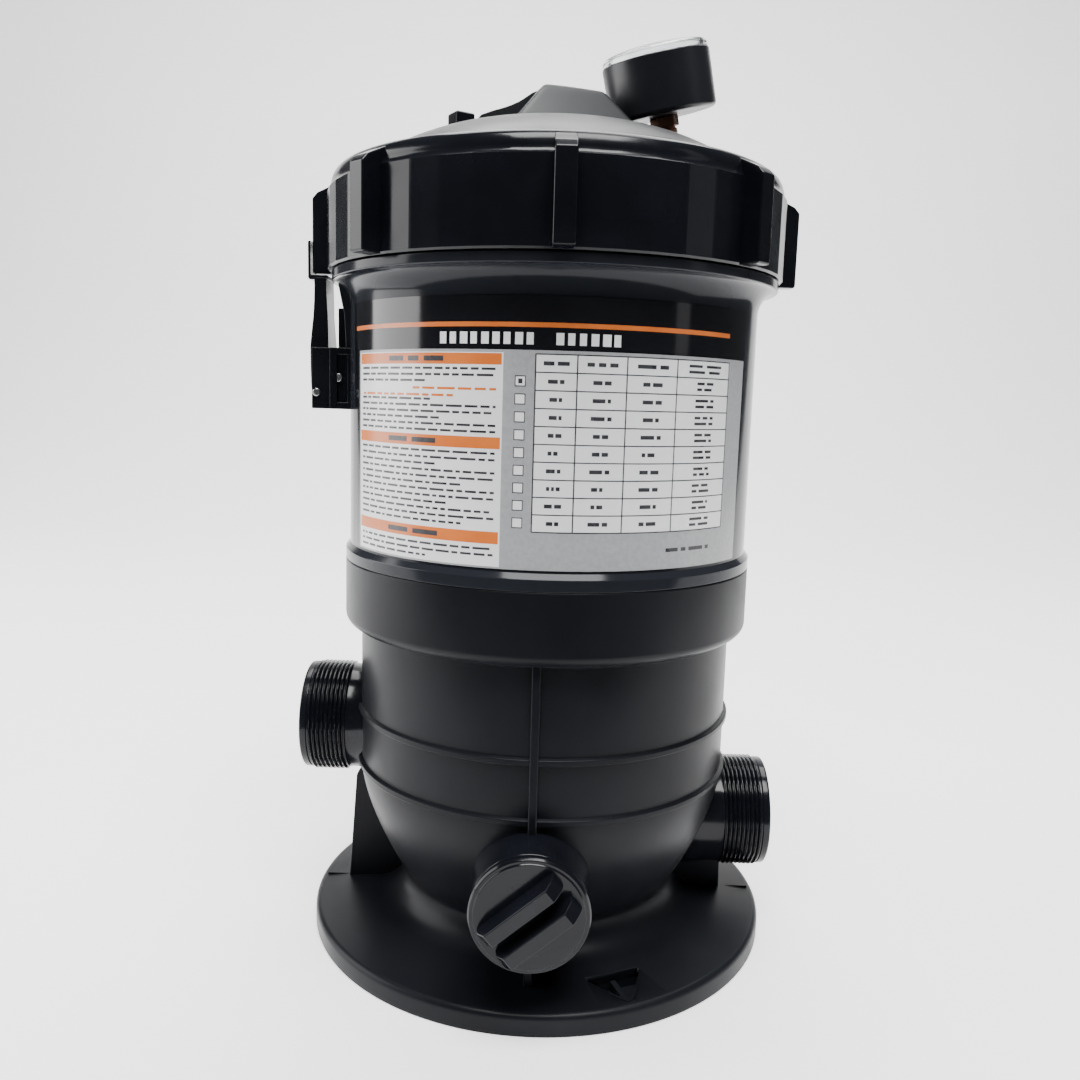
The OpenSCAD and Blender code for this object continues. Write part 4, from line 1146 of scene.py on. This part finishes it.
def make_latch():
    y = LATCH_Y
    rows = [(279.5, -123.4, -117.2, 10.3), (286, -124.2, -116.2, 10.5), (294, -124.5, -115.8, 10.5),
            (306, -124.7, -115.3, 10.3), (314, -124.3, -115.7, 9), (322, -123.6, -116.1, 8.1),
            (330, -123.0, -116.4, 8.7), (336, -122.8, -116.6, 9), (341.2, -122.8, -116.6, 9)]
    sections = [[(x0, y - half, z), (x1, y - half, z), (x1, y + half, z), (x0, y + half, z)]
                for z, x0, x1, half in rows]
    shapes = [loft(sections)]
    head = rounded([(-126.0, 340.5, 0.8), (-116.4, 340.5, 0.4), (-116.4, 342.8, 0.5), (-125.3, 342.8, 0.3),
                    (-125.3, 360.1, 0.3), (-126.6, 359.4, 0.5), (-126.6, 341.4, 0.6)], 2)
    shapes.append(moved(prism(head, -6.4, 6.4), Matrix.Translation((0, y, 0)) @ STAND))
    shapes.append(block(-124.6, -123.6, y - 6, y + 6, 297, 303))
    for k in range(4):
        shapes.append(block(-125.1, -124.2, y - 7.5, y + 7.5, 288 + 3.4 * k, 289.4 + 3.4 * k))
    piece("latch_arm", shapes, "latch", "gloss_black", "latch_lever", bevel=0.5)

    low, top = 275, 306
    # plates at both sides: x from and to, distance from the middle from and to, height from and to
    plates = [(-123.2, -109.2, 11.1, 14.1, low, top), (-113.3, -109.3, 14, 17.1, low, top),
              (-109.5, -101.2, 14.6, 17.1, low, 278.5), (-109.5, -101.2, 14.6, 17.1, 302.5, top),
              (-104.2, -101.2, 14.6, 17.1, 278, 303), (-112, -101.2, 14.6, 15.7, 278, 303)]
    parts = []
    for side in (-1, 1):
        for x0, x1, near, far, z0, z1 in plates:
            parts.append(block(x0, x1, *around(y, side, near, far), z0, z1))
    parts.append(block(-122.2, -106.2, y - 12.6, y + 12.6, low, low + 3))
    parts.append(block(-110, -105.8, y - 11.2, y + 11.2, 276, 326))
    piece("latch_box", parts, "housing", "gloss_black", "latch_bracket", bevel=0.45)

    pin = rounded([(0, -15.2), (2, -15.2, 0.5), (2, 15.2, 0.5), (0, 15.2)])
    at_pin = Matrix.Translation(LATCH_PIN) @ STAND
    lathe("latch_pin_rod", pin, 40, at_pin, "housing", "steel", "latch_pin")

    turns, coil_r, wire = 3.4, 3.3, 0.45
    steps = 150
    sections = []
    for k in range(steps + 1):
        a = TAU * turns * k / steps
        along = -3.4 + 6.8 * k / steps
        ring_points = []
        for m in range(8):
            b = TAU * m / 8
            r = coil_r + wire * math.cos(b)
            ring_points.append((r * math.cos(a), r * math.sin(a), along + wire * math.sin(b)))
        sections.append(ring_points)
    piece("latch_coil", [moved(loft(sections), at_pin)], "housing", "spring_steel", "latch_spring")

    screws = []
    screw = rounded([(0, -4), (1.3, -4), (1.3, -0.2), (2.3, 0, 0.3), (2.0, 1.1, 0.4), (0, 1.25)])
    for side in (-1, 1):
        turn = Matrix.Rotation(-side * math.pi / 2, 4, "X")
        place = Matrix.Translation((SCREW_AT.x, y + side * 15.8, SCREW_AT.z))
        screws.append(moved(turned(screw, 40), place @ turn))
    piece("bracket_screw_pair", screws, "housing", "steel", "bracket_screws")


# ---- inside


def make_inside():
    """CAD nodes whose shape is right get a better material, and the element gets its bands."""
    finishes = {
        "seal_rubber": ("seam_oring", "lid_oring", "drain_oring"),
        "white_plastic": ("outlet_pipe", "element_seat", "air_bleed_tube", "bleed_screen", "element_core"),
        "filter_media": ("pleated_media",),
        "cap_blue": ("element_top_cap", "element_bottom_cap"),
        "brass": ("gauge_tube",),
    }
    for node, finish in [(node, finish) for finish, nodes in finishes.items() for node in nodes]:
        obj = frame["nodes"][node]
        obj.data.materials.clear()
        obj.data.materials.append(materials[finish])
    media_low, media_high = box_mm("pleated_media")
    bands = []
    inner, outer, half = 85.55, 86, 6
    for share in (0.22, 0.5, 0.78):
        z = media_low.z + (media_high.z - media_low.z) * share
        strip = rounded([(inner, z - half, 0.15), (outer, z - half, 0.15), (outer, z + half, 0.15),
                         (inner, z + half, 0.15)], 2)
        bands.append(turned(strip, 144))
    piece("element_bands", bands, "filter_element", "white_plastic")


def make_stage():
    """A sheet that lies under the housing and curves up behind it."""
    front, bend, height, radius, half = -0.36, 1.3, 3.2, 1.1, 1.9
    side = [(front, 0), (bend, 0)]
    side += [(bend + y, z) for y, z in arc(0, radius, radius, -86, 0, 16)]
    side.append((bend + radius, height))
    vertices = [(x, y, z) for y, z in side for x in (-half, half)]
    faces = [(2 * k, 2 * k + 1, 2 * k + 3, 2 * k + 2) for k in range(len(side) - 1)]
    mesh = bpy.data.meshes.new("floor")
    mesh.from_pydata(vertices, [], faces)
    for polygon in mesh.polygons:
        polygon.use_smooth = True
    floor = bpy.data.objects.new("floor", mesh)
    bpy.context.scene.collection.objects.link(floor)
    paper = Shader("floor_paper", (0.93, 0.93, 0.93), 0.8)
    paper.vary_color(3, (0.95, 0.95, 0.95)).vary_rough(5, 0.05)
    paper.set({"Emission Color": (1, 1, 1, 1), "Emission Strength": 0.8})
    mesh.materials.append(materials["floor_paper"])


make_lower_body()
make_tank()
make_label()
make_lock_ring()
make_lid()
make_relief_valve()
make_gauge()
make_drain_plug()
make_latch()
make_inside()
make_stage()
make_light("window_left", (-1.75, 0.1, 0.75), (0, 0, 0.25), 1.3, 1.4, 33)
make_light("window_right", (1.4, -0.5, 0.9), (0, 0, 0.25), 0.25, 1.2, 0.6)
make_light("front_top", (0.1, -0.7, 2.0), (0, 0, 0.4), 1.3, 0.9, 74)
make_light("ceiling", (0.1, 0.9, 2.2), (0, 0.3, 0.2), 1.8, 1.2, 60)
